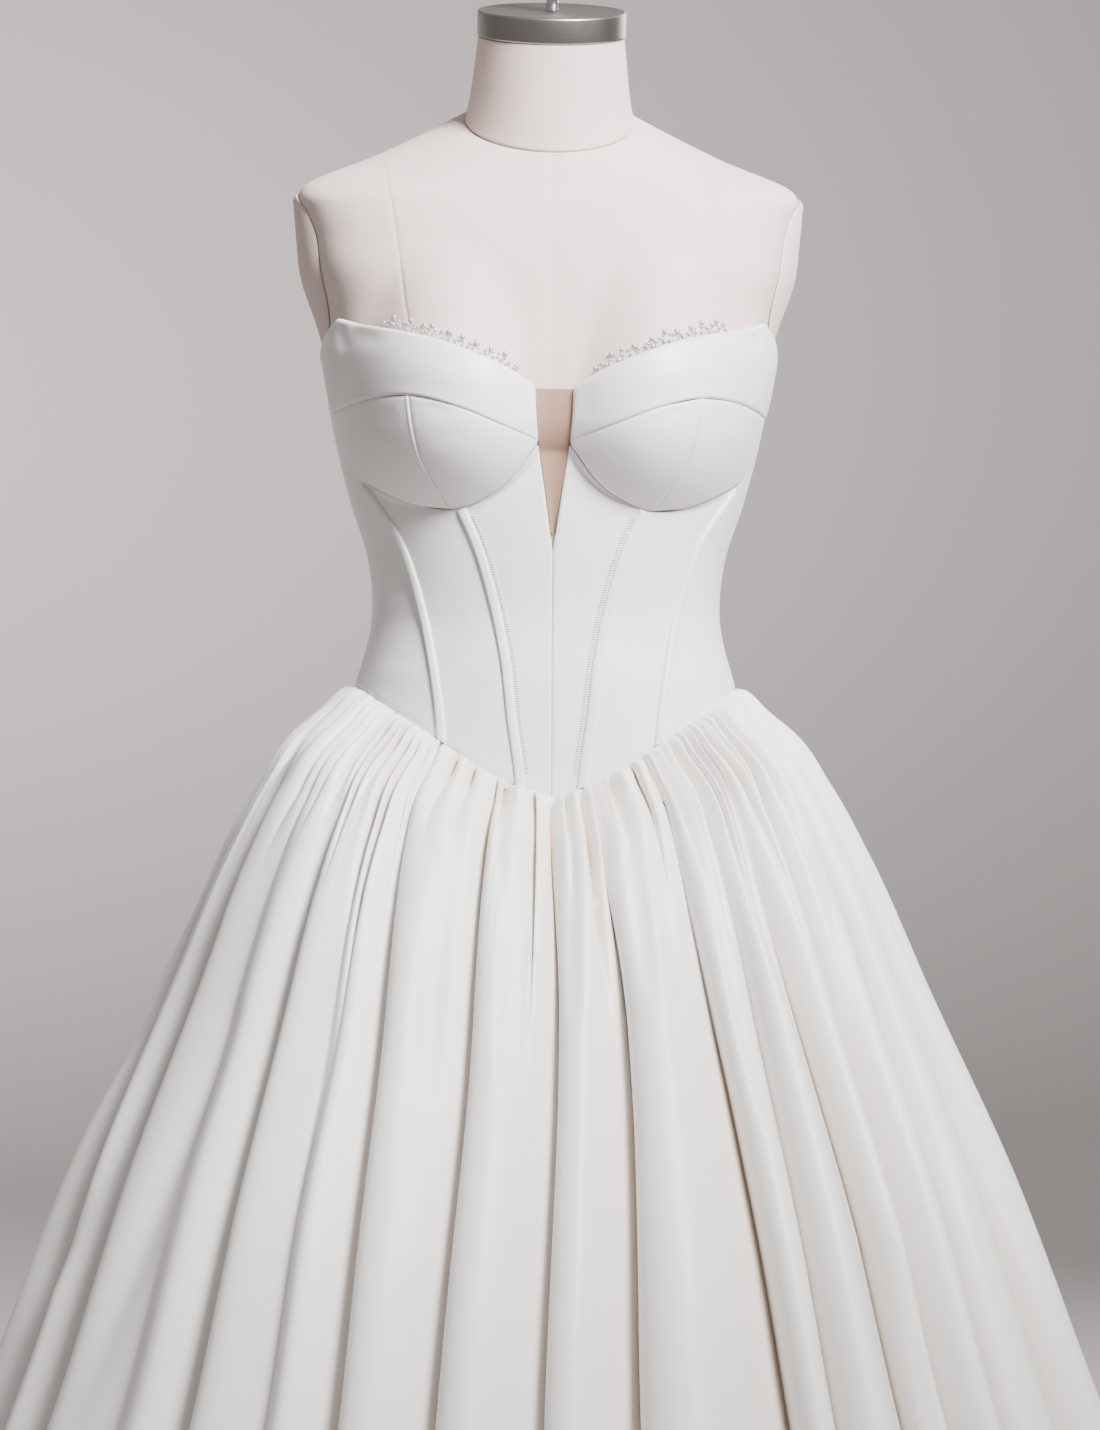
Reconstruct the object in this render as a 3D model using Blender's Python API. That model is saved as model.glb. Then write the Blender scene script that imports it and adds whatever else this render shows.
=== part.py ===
"""Strapless wedding dress on a limbless dress form, one closed solid for each piece.

Metres, +Z up. The pole stands on the Z axis and the base rests on z = 0.
The front of the dress faces -Y. Angles run from the front, 0, towards +X,
90 at the right side and 180 at the back. "Left" is the -X side.
"""

import math
from collections import namedtuple

import bmesh
import bpy
import numpy as np

# Heights of the main levels
HEM_HEIGHT = 0.004
TORSO_BOTTOM = 0.800
WAIST_LEVEL = 0.965
PLUNGE_POINT = 1.100
BUST_HEIGHT = 1.190
BUST_FROM_CENTRE = 0.075

# Cloth thicknesses, and how far each layer's outer face stands off the form
PANEL_WALL = 0.0018
CUP_WALL = 0.0024
SKIRT_WALL = 0.0015
MESH_WALL = 0.0012
PANEL_LIFT = 0.0035
CUP_LIFT = 0.0047
BAND_LIFT = 0.0055
BAND_TOP_FLARE = 0.0030
SEAM_GAP = 0.0003
CUP_GAP = 0.0006
CUP_TIP_LOW = (0.002, -0.0006)
CUP_TIP_HIGH = (0.002, 0.0012)
TONGUE_CLEAR = math.radians(0.8)
TONGUE_EASE = 0.005
SEAM_ALLOWANCE = 0.007
CHANNEL_CLEAR = 0.0009

# Form hardware
CAP_RADIUS = 0.0525
CAP_HEIGHT = 0.0185
CAP_CENTRE = (0.0, -0.0195, 1.4750)
NECK_LEAN = math.radians(16.5)
CAP_LIP = 0.0008
CAP_EDGE = 0.0012
NECK_ROWS = ((0.0, 0.0), (0.12, 0.0008), (0.35, 0.0012), (0.65, 0.0008), (1.0, 0.0))
STUD_RADIUS = 0.0044
STUD_HEIGHT = 0.008
ROD_RADIUS = 0.0103
ROD_HEIGHT = 0.050
ROD_END = 0.004
POLE_RADIUS = 0.016
BASE_RADIUS = 0.190
BASE_HEIGHT = 0.014
BASE_EDGE = 0.004
SHARP_EDGE = math.radians(50)

# Sections of the figure, bottom to top. tilt is how far the section leans back, in
# degrees, and square is the power of its rounded-rectangle outline (2 is an ellipse).
Section = namedtuple("Section", "height half_width front back tilt square")
FIGURE = (
    Section(0.800, 0.1580, 0.0980, 0.1120, 0, 2.2),
    Section(0.860, 0.1665, 0.1040, 0.1220, 0, 2.2),
    Section(0.930, 0.1575, 0.1045, 0.1140, 0, 2.2),
    Section(1.006, 0.1320, 0.0995, 0.0980, 0, 2.2),
    Section(1.055, 0.1200, 0.0945, 0.0900, 0, 2.2),
    Section(1.099, 0.1235, 0.0975, 0.0920, 0, 2.25),
    Section(1.135, 0.1350, 0.1005, 0.0950, 0, 2.3),
    Section(1.184, 0.1475, 0.1030, 0.0990, 0, 2.45),
    Section(1.231, 0.1550, 0.1020, 0.1020, 0, 2.65),
    Section(1.262, 0.1550, 0.0970, 0.1035, 0, 2.8),
    Section(1.300, 0.1640, 0.0910, 0.1030, 1, 2.8),
    Section(1.325, 0.1685, 0.0855, 0.1000, 3, 2.5),
    Section(1.343, 0.1738, 0.0800, 0.0945, 5, 2.3),
    Section(1.354, 0.1775, 0.0765, 0.0900, 7, 2.1),
    Section(1.361, 0.1735, 0.0725, 0.0860, 9, 2.0),
    Section(1.382, 0.1230, 0.0660, 0.0740, 17, 2.0),
    Section(1.409, 0.0605, 0.0580, 0.0520, 28, 2.0),
)

# Rise of the bust over the figure: height of the dome and its radii
Bust = namedtuple("Bust", "rise side lower upper shape softness")
FORM_BUST = Bust(0.031, 0.060, 0.054, 0.130, 2.0, 1.5)
CUP_BUST = Bust(0.039, 0.070, 0.062, 0.100, 2.15, 1.0)

# Seam lines of the right half as (distance from the centre, height), from the front
PLUNGE_EDGE = ((0.0000, 1.1000), (0.0050, 1.1345), (0.0108, 1.1740), (0.0136, 1.2110))
INNER_SEAM = ((0.0205, 0.9300), (0.0215, 0.9450), (0.0270, 0.9850), (0.0320, 1.0280),
              (0.0400, 1.0660), (0.0520, 1.1050), (0.0625, 1.1285))
OUTER_SEAM = ((0.0740, 0.9600), (0.0750, 0.9775), (0.0805, 1.0210), (0.0890, 1.0625),
              (0.1050, 1.1090), (0.1310, 1.1490), (0.1510, 1.1975), (0.1580, 1.2390))
UNDERWIRE = ((0.0112, 1.1720), (0.0350, 1.1430), (0.0520, 1.1330), (0.0625, 1.1285),
             (0.0700, 1.1280), (0.0930, 1.1310), (0.1080, 1.1365), (0.1310, 1.1490))
CUP_SEAM = ((0.0700, 1.1280), (0.0780, 1.1400), (0.0900, 1.1600), (0.0960, 1.1810),
            (0.0990, 1.2030))
BAND_BOTTOM = ((0.0108, 1.1740), (0.0370, 1.1835), (0.0690, 1.1955), (0.0990, 1.2030),
               (0.1250, 1.2025), (0.1510, 1.1975))
BAND_TOP = ((0.0136, 1.2110), (0.0260, 1.2190), (0.0540, 1.2315), (0.0760, 1.2400),
            (0.1020, 1.2475), (0.1270, 1.2545), (0.1450, 1.2610))
BAND_SIDE = ((0.1510, 1.1975), (0.1580, 1.2390), (0.1535, 1.2520), (0.1450, 1.2610))

# Waist seam as (angle in degrees, height): a point at the front, a shallow dip behind
WAIST_SEAM = ((0, 0.9317), (8, 0.9400), (20, 0.9570), (33, 0.9745), (48, 0.9890),
              (65, 1.0010), (90, 1.0067), (115, 1.0030), (150, 0.9900), (180, 0.9800))
SIDE_BACK_ANGLE = 118.0
BACK_TOP = ((84.0, 1.2380), (118.0, 1.2320), (150.0, 1.2180), (180.0, 1.2080))

# Skirt outline: how far the gathers swell out past the waist seam at each drop below it
Swell = namedtuple("Swell", "drop out")
SKIRT_OUTLINE = (
    Swell(0.000, 0.000), Swell(0.005, 0.0085), Swell(0.014, 0.0195), Swell(0.028, 0.0375),
    Swell(0.067, 0.0660), Swell(0.117, 0.0940), Swell(0.210, 0.1370), Swell(0.334, 0.1975),
    Swell(0.479, 0.2555), Swell(1.003, 0.4560),
)
SIDE_DROP = 1.003

# Rows of the skirt: share of the drop, depth of the small gathers, depth of the folds
SkirtRow = namedtuple("SkirtRow", "share gather fold")
GATHERED_ROWS = (
    SkirtRow(0.000, 0.0012, 0.000),
    SkirtRow(0.011, 0.0070, 0.001),
    SkirtRow(0.034, 0.0065, 0.007),
    SkirtRow(0.080, 0.0042, 0.017),
)
FOLDED_ROWS = (
    SkirtRow(0.130, 0.0, 0.026),
    SkirtRow(0.240, 0.0, 0.036),
    SkirtRow(0.400, 0.0, 0.044),
    SkirtRow(0.640, 0.0, 0.050),
    SkirtRow(1.000, 0.0, 0.056),
)
FOLD_SETTLES_AT = 0.47

# Large folds, round from the left of the centre front: the valley's angle at the waist
# and lower down, its depth, how far the ridge after it stands back, and its lean
Fold = namedtuple("Fold", "waist low depth back lean")
FOLDS = (
    Fold(-28.0, -22.0, 1.05, 0.10, 0.0),
    Fold(-12.0, -12.0, 0.95, 0.05, 0.0),
    Fold(0.5, -1.0, 0.70, 0.25, 0.0),
    Fold(9.0, 6.5, 1.00, 0.00, 0.2),
    Fold(22.0, 22.0, 1.00, 0.15, 0.3),
    Fold(30.5, 28.5, 1.15, 0.00, 0.2),
    Fold(38.0, 36.5, 0.65, 0.20, 0.0),
    Fold(48.0, 43.0, 0.95, 0.05, -0.2),
    Fold(60.0, 50.5, 0.75, 0.20, 0.0),
    Fold(75.0, 66.0, 1.00, 0.00, 0.1),
    Fold(89.0, 80.0, 0.85, 0.10, 0.0),
    Fold(102.0, 93.5, 1.00, 0.05, 0.2),
    Fold(115.0, 107.0, 0.75, 0.20, 0.0),
    Fold(128.0, 121.5, 1.05, 0.00, -0.1),
    Fold(141.0, 136.5, 0.85, 0.15, 0.0),
    Fold(154.0, 151.0, 1.00, 0.05, 0.1),
    Fold(167.0, 165.5, 0.80, 0.15, 0.0),
    Fold(180.0, 180.0, 1.00, 0.00, 0.0),
    Fold(195.0, 197.0, 0.85, 0.15, 0.0),
    Fold(210.0, 213.5, 1.05, 0.00, 0.2),
    Fold(223.0, 229.0, 0.75, 0.20, 0.0),
    Fold(236.0, 245.0, 1.00, 0.05, -0.1),
    Fold(249.0, 260.5, 0.85, 0.15, 0.0),
    Fold(262.0, 276.0, 1.05, 0.05, 0.0),
    Fold(275.0, 291.0, 0.80, 0.15, 0.0),
    Fold(290.0, 305.0, 1.05, 0.10, -0.2),
    Fold(304.5, 316.0, 0.95, 0.15, 0.0),
    Fold(316.0, 324.0, 1.00, 0.05, -0.2),
    Fold(325.0, 332.5, 0.75, 0.15, 0.0),
    Fold(332.0, 338.0, 1.05, 0.10, 0.0),
)
GATHERS_PER_FOLD = 3
COLUMNS_PER_GATHER = 4
COARSE_PHASES = (0.0, 1 / 12, 0.25, 0.5, 0.75, 11 / 12)
FOLD_ROUNDNESS = 0.70
GATHER_ROUNDNESS = 0.80
GATHER_SEED = 7
SKIRT_CLEAR = 0.0005
SLOPE_STEP = 0.002

# Skirt panels, by the folds whose valleys they start and end in
SKIRT_PANELS = (
    ("skirt_front", 0, 5),
    ("skirt_front_side_right", 5, 9),
    ("skirt_back_side_right", 9, 13),
    ("skirt_back_right", 13, 17),
    ("skirt_back_left", 17, 21),
    ("skirt_back_side_left", 21, 25),
    ("skirt_front_side_left", 25, 29),
)

# Rows and columns of the bodice pieces
ROWS_TO_PLUNGE = 6
ROWS_BESIDE_WIRE = (1.1150, 1.1285)
ROWS_ABOVE_WIRE = (1.1335, 1.1430, 1.1550, 1.1655)
CUP_ROWS = 5
BAND_ROWS = 3
INNER_CUP_COLUMNS = 7
OUTER_CUP_COLUMNS = 6
ROUND_COLUMNS = 36

ARM_PLATE_CENTRE = (0.010, 1.2985)
ARM_PLATE_RADII = (0.042, 0.0580)
ARM_PLATE_RINGS = (0.45, 0.75, 0.92, 1.0)
ARM_PLATE_POINTS = 24
ARM_PLATE_RISE = 0.0095
ARM_PLATE_EDGE = 0.0015
ARM_PLATE_CLEAR = 0.0008
ARM_PLATE_HOLLOW = 0.0040
TORSO_HEIGHTS = (TORSO_BOTTOM, 0.850, 0.920, 0.970, 1.006, 1.035, 1.065, 1.099, 1.135, 1.162,
                 1.190, 1.215, 1.245, 1.275, 1.300, 1.325, 1.343, 1.354, 1.361, 1.382,
                 1.4087)
NECK_SEAM_HEIGHT = 1.409
CHANNEL_WIDTHS = {"inner": 0.0095, "outer": 0.0070}
CHANNEL_RISE = 0.0022
CHANNEL_START = 0.0030
INNER_CHANNEL_TOP = 1.1225
OUTER_CHANNEL_TOP = 1.1420
PEARL_STRIP_ENDS = (0.026, 0.118)
PEARL_STRIP_ABOVE = 0.008
PEARL_STRIP_BELOW = 0.007
PEARL_STRIP_INSIDE = 0.0014
PLUNGE_MESH_START = 0.012
PLUNGE_MESH_END = 0.0015
PLUNGE_MESH_LIFT = PANEL_LIFT + 0.0004
PLUNGE_MESH_CLEAR = 0.0006
PLACKET_HALF_WIDTH = 0.008
PLACKET_LIFT = 0.0056


def clear_scene():
    """Removes whatever the scene holds."""
    for item in list(bpy.data.objects):
        bpy.data.objects.remove(item, do_unlink=True)


def make_material(name, colour, roughness, metallic=0.0):
    """A Principled material of one colour."""
    material = bpy.data.materials.new(name)
    material.use_nodes = True
    shader = material.node_tree.nodes["Principled BSDF"]
    shader.inputs["Base Color"].default_value = (*colour, 1.0)
    shader.inputs["Roughness"].default_value = roughness
    shader.inputs["Metallic"].default_value = metallic
    return material


def read_smoothly(at, knots, values):
    """Reads values over rising knots with a cubic whose slope at a knot is its neighbours'."""
    knots = np.asarray(knots, float)
    values = np.asarray(values, float)
    at = np.clip(at, knots[0], knots[-1])
    slopes = np.gradient(values, knots)
    left = np.clip(np.searchsorted(knots, at, side="right") - 1, 0, len(knots) - 2)
    step = knots[left + 1] - knots[left]
    t = (at - knots[left]) / step
    start = values[left] * (1 + 2 * t) * (1 - t) ** 2 + slopes[left] * step * t * (1 - t) ** 2
    end = values[left + 1] * t**2 * (3 - 2 * t) - slopes[left + 1] * step * t**2 * (1 - t)
    return start + end


def figure_size(height, field):
    """One size of the figure's section at a height."""
    heights = [section.height for section in FIGURE]
    return read_smoothly(height, heights, [getattr(section, field) for section in FIGURE])


def bust_rise(x, height, bust):
    """How far the bust stands out at a place on the front."""
    across = (np.abs(x) - BUST_FROM_CENTRE) / bust.side
    reach = np.where(height < BUST_HEIGHT, bust.lower, bust.upper)
    from_centre = np.hypot(across, (height - BUST_HEIGHT) / reach)
    return bust.rise * np.clip(1 - from_centre**bust.shape, 0, None) ** bust.softness


def on_figure(angle, height, lift, bust):
    """Points on the figure's surface, moved out by lift. Angles are in radians."""
    angle, height = np.broadcast_arrays(np.asarray(angle, float), np.asarray(height, float))
    power = 2 / figure_size(height, "square")
    sine, cosine = np.sin(angle), np.cos(angle)
    half_width = figure_size(height, "half_width")
    depth = np.where(cosine > 0, figure_size(height, "front"), figure_size(height, "back"))
    across = np.sign(sine) * np.abs(sine) ** power
    along = np.sign(cosine) * np.abs(cosine) ** power
    x = (half_width + lift) * across
    y = -(depth + lift) * along
    rise = np.where(cosine > 0, bust_rise(half_width * across, height, bust), 0.0)
    tilt = np.radians(figure_size(height, "tilt"))
    return np.stack([x, y - rise, height + np.tan(tilt) * y], axis=-1)


def angle_at(x, height):
    """Angle round the figure of a place on the front of the bodice."""
    share = np.clip(np.asarray(x) / (figure_size(height, "half_width") + PANEL_LIFT), 0, 0.9995)
    return np.arcsin(share ** (figure_size(height, "square") / 2))


def line_angle(line, height):
    """Angle at which a rising seam line passes a height."""
    heights = [point[1] for point in line]
    x = read_smoothly(height, heights, [point[0] for point in line])
    return angle_at(x, np.clip(height, heights[0], heights[-1]))


def waist_seam(angle):
    """Height of the waist seam at an angle, the same on both sides."""
    turned = np.degrees(np.abs((np.asarray(angle) + math.pi) % (2 * math.pi) - math.pi))
    return read_smoothly(turned, [row[0] for row in WAIST_SEAM], [row[1] for row in WAIST_SEAM])


def divided(line, count):
    """A seam line as count + 1 evenly spaced points of (angle, height)."""
    line = np.asarray(line, float)
    lengths = np.concatenate([[0], np.cumsum(np.hypot(*np.diff(line, axis=0).T))])
    at = np.linspace(0, lengths[-1], count + 1)
    x = read_smoothly(at, lengths, line[:, 0])
    height = read_smoothly(at, lengths, line[:, 1])
    return np.stack([angle_at(x, height), height], axis=-1)


def between_edges(bottom, top, left, right):
    """A grid of (angle, height) that fills four edges which share their corners."""
    s = np.linspace(0, 1, len(bottom))[None, :, None]
    t = np.linspace(0, 1, len(left))[:, None, None]
    rows = (1 - t) * bottom[None] + t * top[None]
    columns = (1 - s) * left[:, None] + s * right[:, None]
    corners = ((1 - s) * (1 - t) * bottom[0] + s * (1 - t) * bottom[-1]
               + (1 - s) * t * top[0] + s * t * top[-1])
    return rows + columns - corners


def between_lines(left_angle, right_angle, bottom, top, rows, columns):
    """A grid of (angle, height) between two rising lines.

    left_angle and right_angle give a line's angle at a height. bottom and top give the
    height at a share across, and rows are the shares of the height between them.
    """
    grid = np.empty((len(rows), columns + 1, 2))
    for column, share in enumerate(np.linspace(0, 1, columns + 1)):
        heights = bottom(share) + np.asarray(rows) * (top(share) - bottom(share))
        angles = (1 - share) * left_angle(heights) + share * right_angle(heights)
        grid[:, column] = np.stack([angles, heights], axis=-1)
    return grid


def moved_in(grid, gap):
    """A grid of points with its four borders moved in by gap, along the surface."""
    grid = grid.copy()
    for border, inside in (((0,), (1,)), ((-1,), (-2,))):
        step = grid[inside] - grid[border]
        grid[border] += gap * step / np.linalg.norm(step, axis=-1, keepdims=True)
    for border, inside in ((0, 1), (-1, -2)):
        step = grid[:, inside] - grid[:, border]
        grid[:, border] += gap * step / np.linalg.norm(step, axis=-1, keepdims=True)
    return grid


def rows_to_faces(lower, upper, lower_at, upper_at):
    """Triangles between two rows of point numbers, walked by each point's place along."""
    faces = []
    i = j = 0
    while i < len(lower) - 1 or j < len(upper) - 1:
        next_lower = lower_at[i + 1] if i < len(lower) - 1 else math.inf
        next_upper = upper_at[j + 1] if j < len(upper) - 1 else math.inf
        if next_lower <= next_upper:
            faces.append((lower[i], lower[i + 1], upper[j]))
            i += 1
        else:
            faces.append((lower[i], upper[j + 1], upper[j]))
            j += 1
    return faces


def finish_mesh(name, points, faces, material):
    """Makes the object and turns its faces out."""
    mesh = bpy.data.meshes.new(name)
    mesh.from_pydata([tuple(map(float, point)) for point in points], [], faces)
    work = bmesh.new()
    work.from_mesh(mesh)
    bmesh.ops.recalc_face_normals(work, faces=work.faces)
    if work.calc_volume(signed=True) < 0:
        bmesh.ops.reverse_faces(work, faces=work.faces)
    work.to_mesh(mesh)
    work.free()
    mesh.shade_smooth()
    mesh.set_sharp_from_angle(angle=SHARP_EDGE)
    mesh.materials.append(material)
    item = bpy.data.objects.new(name, mesh)
    bpy.context.scene.collection.objects.link(item)
    return item


def make_wall(name, outer, inner, places, material):
    """A closed wall from matching outer and inner rows, each row with its own count."""
    points = np.concatenate([*outer, *inner])
    starts = np.cumsum([0] + [len(row) for row in outer])
    half = starts[-1]
    outside = [list(range(a, b)) for a, b in zip(starts[:-1], starts[1:])]
    inside = [[half + number for number in row] for row in outside]
    faces = []
    for k in range(len(outer) - 1):
        front = rows_to_faces(outside[k], outside[k + 1], places[k], places[k + 1])
        faces += front
        faces += [tuple(half + number for number in reversed(face)) for face in front]
    faces += edge_faces(outside[0], inside[0])
    faces += edge_faces(inside[-1], outside[-1])
    faces += edge_faces([row[0] for row in inside], [row[0] for row in outside])
    faces += edge_faces([row[-1] for row in outside], [row[-1] for row in inside])
    return finish_mesh(name, points, faces, material)


def edge_faces(first, second):
    """Faces that close a wall along one border."""
    faces = []
    for k in range(len(first) - 1):
        faces.append((first[k], second[k], second[k + 1]))
        faces.append((first[k], second[k + 1], first[k + 1]))
    return faces


def mirrored(points):
    """The same points on the other side of the centre front."""
    return points * np.array([-1.0, 1.0, 1.0])


def make_piece(name, grid, lift, wall, material, bust=CUP_BUST, gap=SEAM_GAP / 2):
    """A cloth piece over the figure, on a grid of (angle, height), for each side."""
    outer = moved_in(on_figure(grid[..., 0], grid[..., 1], lift, bust), gap)
    inner = moved_in(on_figure(grid[..., 0], grid[..., 1], lift - wall, bust), gap)
    places = [np.linspace(0, 1, grid.shape[1])] * grid.shape[0]
    make_wall(name + "_right", list(outer), list(inner), places, material)
    make_wall(name + "_left", list(mirrored(outer)), list(mirrored(inner)), places, material)


def panel_bottom(left_line, right_line):
    """Height of a panel's lower edge, a seam allowance under the waist seam."""
    left = left_line(np.array(WAIST_LEVEL))
    right = right_line(np.array(WAIST_LEVEL))
    return lambda share: waist_seam((1 - share) * left + share * right) - SEAM_ALLOWANCE


def centre_line(height):
    """Angle of the centre-front seam, and of the plunge edge above its point."""
    return np.where(height > PLUNGE_POINT, line_angle(PLUNGE_EDGE, height), 0.0)


def inner_line(height):
    """Angle of the seam under the inner channel."""
    return line_angle(INNER_SEAM, height)


def inner_line_and_wire(height):
    """Angle of the inner seam, and above it of the underwire up to the plunge."""
    wire = [point for point in reversed(UNDERWIRE) if point[0] <= INNER_SEAM[-1][0]]
    clear = TONGUE_CLEAR * np.clip((height - wire[0][1]) / TONGUE_EASE, 0, 1)
    return np.where(height > wire[0][1], line_angle(wire, height) - clear, inner_line(height))


def outer_line(height):
    """Angle of the seam under the outer channel."""
    return line_angle(OUTER_SEAM, height)


def side_back_line(height):
    """Angle of the side-back seam."""
    return np.full_like(np.asarray(height, float), math.radians(SIDE_BACK_ANGLE))


def back_line(height):
    """Angle of the centre-back seam."""
    return np.full_like(np.asarray(height, float), math.pi)


def back_top(angle):
    """Height of the upper edge from the underarm round to the centre back."""
    degrees = np.degrees(angle)
    return read_smoothly(degrees, [row[0] for row in BACK_TOP], [row[1] for row in BACK_TOP])


def inner_seam_heights(bottom):
    """Row heights that the two panels at the inner seam share."""
    return np.concatenate([np.linspace(bottom, PLUNGE_POINT, ROWS_TO_PLUNGE + 1), ROWS_BESIDE_WIRE])


def outer_seam_heights(bottom):
    """Row heights that the pieces at the outer seam share: panel, outer cup and band."""
    junction = UNDERWIRE[-1][1]
    front = inner_seam_heights(float(panel_bottom(inner_line, outer_line)(0.0)))
    shares = (front - front[0]) / (front[-1] - front[0])
    panel = bottom + shares * (junction - bottom)
    cup = np.linspace(junction, BAND_BOTTOM[-1][1], CUP_ROWS + 1)
    band = band_side()[:, 1]
    return np.concatenate([panel, cup[1:], band[(band > cup[-1]) & (band < OUTER_SEAM[-1][1])]])


def shares_of(heights, top):
    """Rows of a panel as shares of its height."""
    return (np.append(heights[heights < top - 0.002], top) - heights[0]) / (top - heights[0])


def make_centre_front_panels(material):
    """Centre-front panels, from the waist seam to a narrow tongue under the band."""
    bottom = panel_bottom(centre_line, inner_line)
    heights = np.concatenate([inner_seam_heights(float(bottom(1.0))), ROWS_ABOVE_WIRE])
    top = heights[-1]
    rows = (heights - heights[0]) / (top - heights[0])
    grid = between_lines(centre_line, inner_line_and_wire, bottom, lambda share: top, rows, 3)
    make_piece("centre_front_panel", grid, PANEL_LIFT, PANEL_WALL, material)


def make_front_side_panels(material):
    """Front-side panels, from the waist seam to the underwire."""
    wire = np.array([point for point in UNDERWIRE if point[0] >= INNER_SEAM[-1][0]])

    def top(share):
        return read_smoothly(share, np.linspace(0, 1, len(wire)), wire[:, 1])

    bottom = panel_bottom(inner_line, outer_line)
    heights = inner_seam_heights(float(bottom(0.0)))
    rows = (heights - heights[0]) / (heights[-1] - heights[0])
    grid = between_lines(inner_line, outer_line, bottom, top, rows, 5)
    make_piece("front_side_panel", grid, PANEL_LIFT, PANEL_WALL, material)


def make_side_panels(material):
    """Side panels, from the outer seam round to the side-back seam."""
    bottom = panel_bottom(outer_line, side_back_line)
    start = float(outer_line(np.array(OUTER_SEAM[-1][1])))

    def top(share):
        return back_top((1 - share) * start + share * math.radians(SIDE_BACK_ANGLE))

    rows = shares_of(outer_seam_heights(float(bottom(0.0))), float(top(0.0)))
    grid = between_lines(outer_line, side_back_line, bottom, top, rows, 6)
    make_piece("side_panel", grid, PANEL_LIFT, PANEL_WALL, material)


def make_back_panels(material):
    """Back panels, from the side-back seam to the centre back."""
    bottom = panel_bottom(side_back_line, back_line)
    start = math.radians(SIDE_BACK_ANGLE)
    front = panel_bottom(outer_line, side_back_line)
    side_top = float(back_top(float(outer_line(np.array(OUTER_SEAM[-1][1])))))
    rows = shares_of(outer_seam_heights(float(front(0.0))), side_top)
    grid = between_lines(side_back_line, back_line, bottom,
                         lambda share: back_top((1 - share) * start + share * math.pi), rows, 6)
    make_piece("back_panel", grid, PANEL_LIFT, PANEL_WALL, material)


def make_back_placket(material):
    """A plain placket that covers the centre-back fastening."""
    heights = np.linspace(waist_seam(math.pi) + 0.002, BACK_TOP[-1][1] - 0.002, 10)
    half_angle = PLACKET_HALF_WIDTH / (figure_size(heights, "half_width"))
    angles = math.pi + half_angle[:, None] * np.linspace(-1, 1, 3)[None]
    grid = np.stack([angles, np.broadcast_to(heights[:, None], angles.shape)], axis=-1)
    outer = on_figure(grid[..., 0], grid[..., 1], PLACKET_LIFT, CUP_BUST)
    inner = on_figure(grid[..., 0], grid[..., 1], PLACKET_LIFT - MESH_WALL, CUP_BUST)
    places = [np.linspace(0, 1, 3)] * len(heights)
    make_wall("back_placket", list(outer), list(inner), places, material)


def make_cups(material):
    """Lower cups in two parts each, domed over the underwire."""
    wire = np.array(UNDERWIRE)
    tip_low = wire[0] + CUP_TIP_LOW
    tip_high = np.array(BAND_BOTTOM[0]) + CUP_TIP_HIGH
    split = int(np.argmax(wire[:, 0] >= CUP_SEAM[0][0]))
    inner_wire = np.vstack([tip_low, wire[1:split + 1]])
    band = np.array(BAND_BOTTOM)
    meet = int(np.argmax(band[:, 0] >= CUP_SEAM[-1][0]))
    inner_top = np.vstack([tip_high, band[1:meet + 1]])
    seam = divided(CUP_SEAM, CUP_ROWS)
    inner = between_edges(divided(inner_wire, INNER_CUP_COLUMNS),
                          divided(inner_top, INNER_CUP_COLUMNS),
                          divided(np.vstack([tip_low, tip_high]), CUP_ROWS), seam)
    heights = np.linspace(UNDERWIRE[-1][1], BAND_BOTTOM[-1][1], CUP_ROWS + 1)
    side = np.stack([outer_line(heights), heights], axis=-1)
    outer = between_edges(divided(wire[split:], OUTER_CUP_COLUMNS),
                          divided(band[meet:], OUTER_CUP_COLUMNS), seam, side)
    make_piece("inner_cup", inner, CUP_LIFT, CUP_WALL, material, gap=CUP_GAP)
    make_piece("outer_cup", outer, CUP_LIFT, CUP_WALL, material, gap=CUP_GAP)


def band_side():
    """Points down the band's side: on the outer seam, then round to the underarm peak."""
    points = divided(BAND_SIDE, BAND_ROWS)
    on_seam = points[:, 1] <= OUTER_SEAM[-1][1]
    points[on_seam, 0] = outer_line(points[on_seam, 1])
    return points


def band_grid():
    """Grid of the upper cup band, from the plunge edge to the underarm peak."""
    plunge = [point for point in PLUNGE_EDGE if point[1] >= BAND_BOTTOM[0][1]]
    band = np.array(BAND_BOTTOM)
    meet = int(np.argmax(band[:, 0] >= CUP_SEAM[-1][0]))
    bottom = np.vstack([divided(band[:meet + 1], INNER_CUP_COLUMNS),
                        divided(band[meet:], OUTER_CUP_COLUMNS)[1:]])
    bottom[-1, 0] = outer_line(bottom[-1, 1])
    return between_edges(bottom, divided(BAND_TOP, len(bottom) - 1),
                         divided(plunge, BAND_ROWS), band_side())


def make_bands(material):
    """Upper cup bands, proud of the cups and flared a little at the top."""
    grid = band_grid()
    flare = np.linspace(0, BAND_TOP_FLARE, grid.shape[0])[:, None]
    make_piece("band", grid, BAND_LIFT + flare, CUP_WALL, material)


def make_pearl_strips(material):
    """Narrow strips inside the bands' upper edges that carry the pearls."""
    x = np.linspace(*PEARL_STRIP_ENDS, 9)
    edge = np.array(BAND_TOP)
    line = read_smoothly(x, edge[:, 0], edge[:, 1])
    heights = np.stack([line - PEARL_STRIP_BELOW, line + PEARL_STRIP_ABOVE])
    angles = angle_at(x[None], np.broadcast_to(line, heights.shape))
    grid = np.stack([angles, heights], axis=-1)
    lift = BAND_LIFT + BAND_TOP_FLARE / 2 - CUP_WALL - PEARL_STRIP_INSIDE
    make_piece("pearl_strip", grid, lift, MESH_WALL, material)


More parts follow.
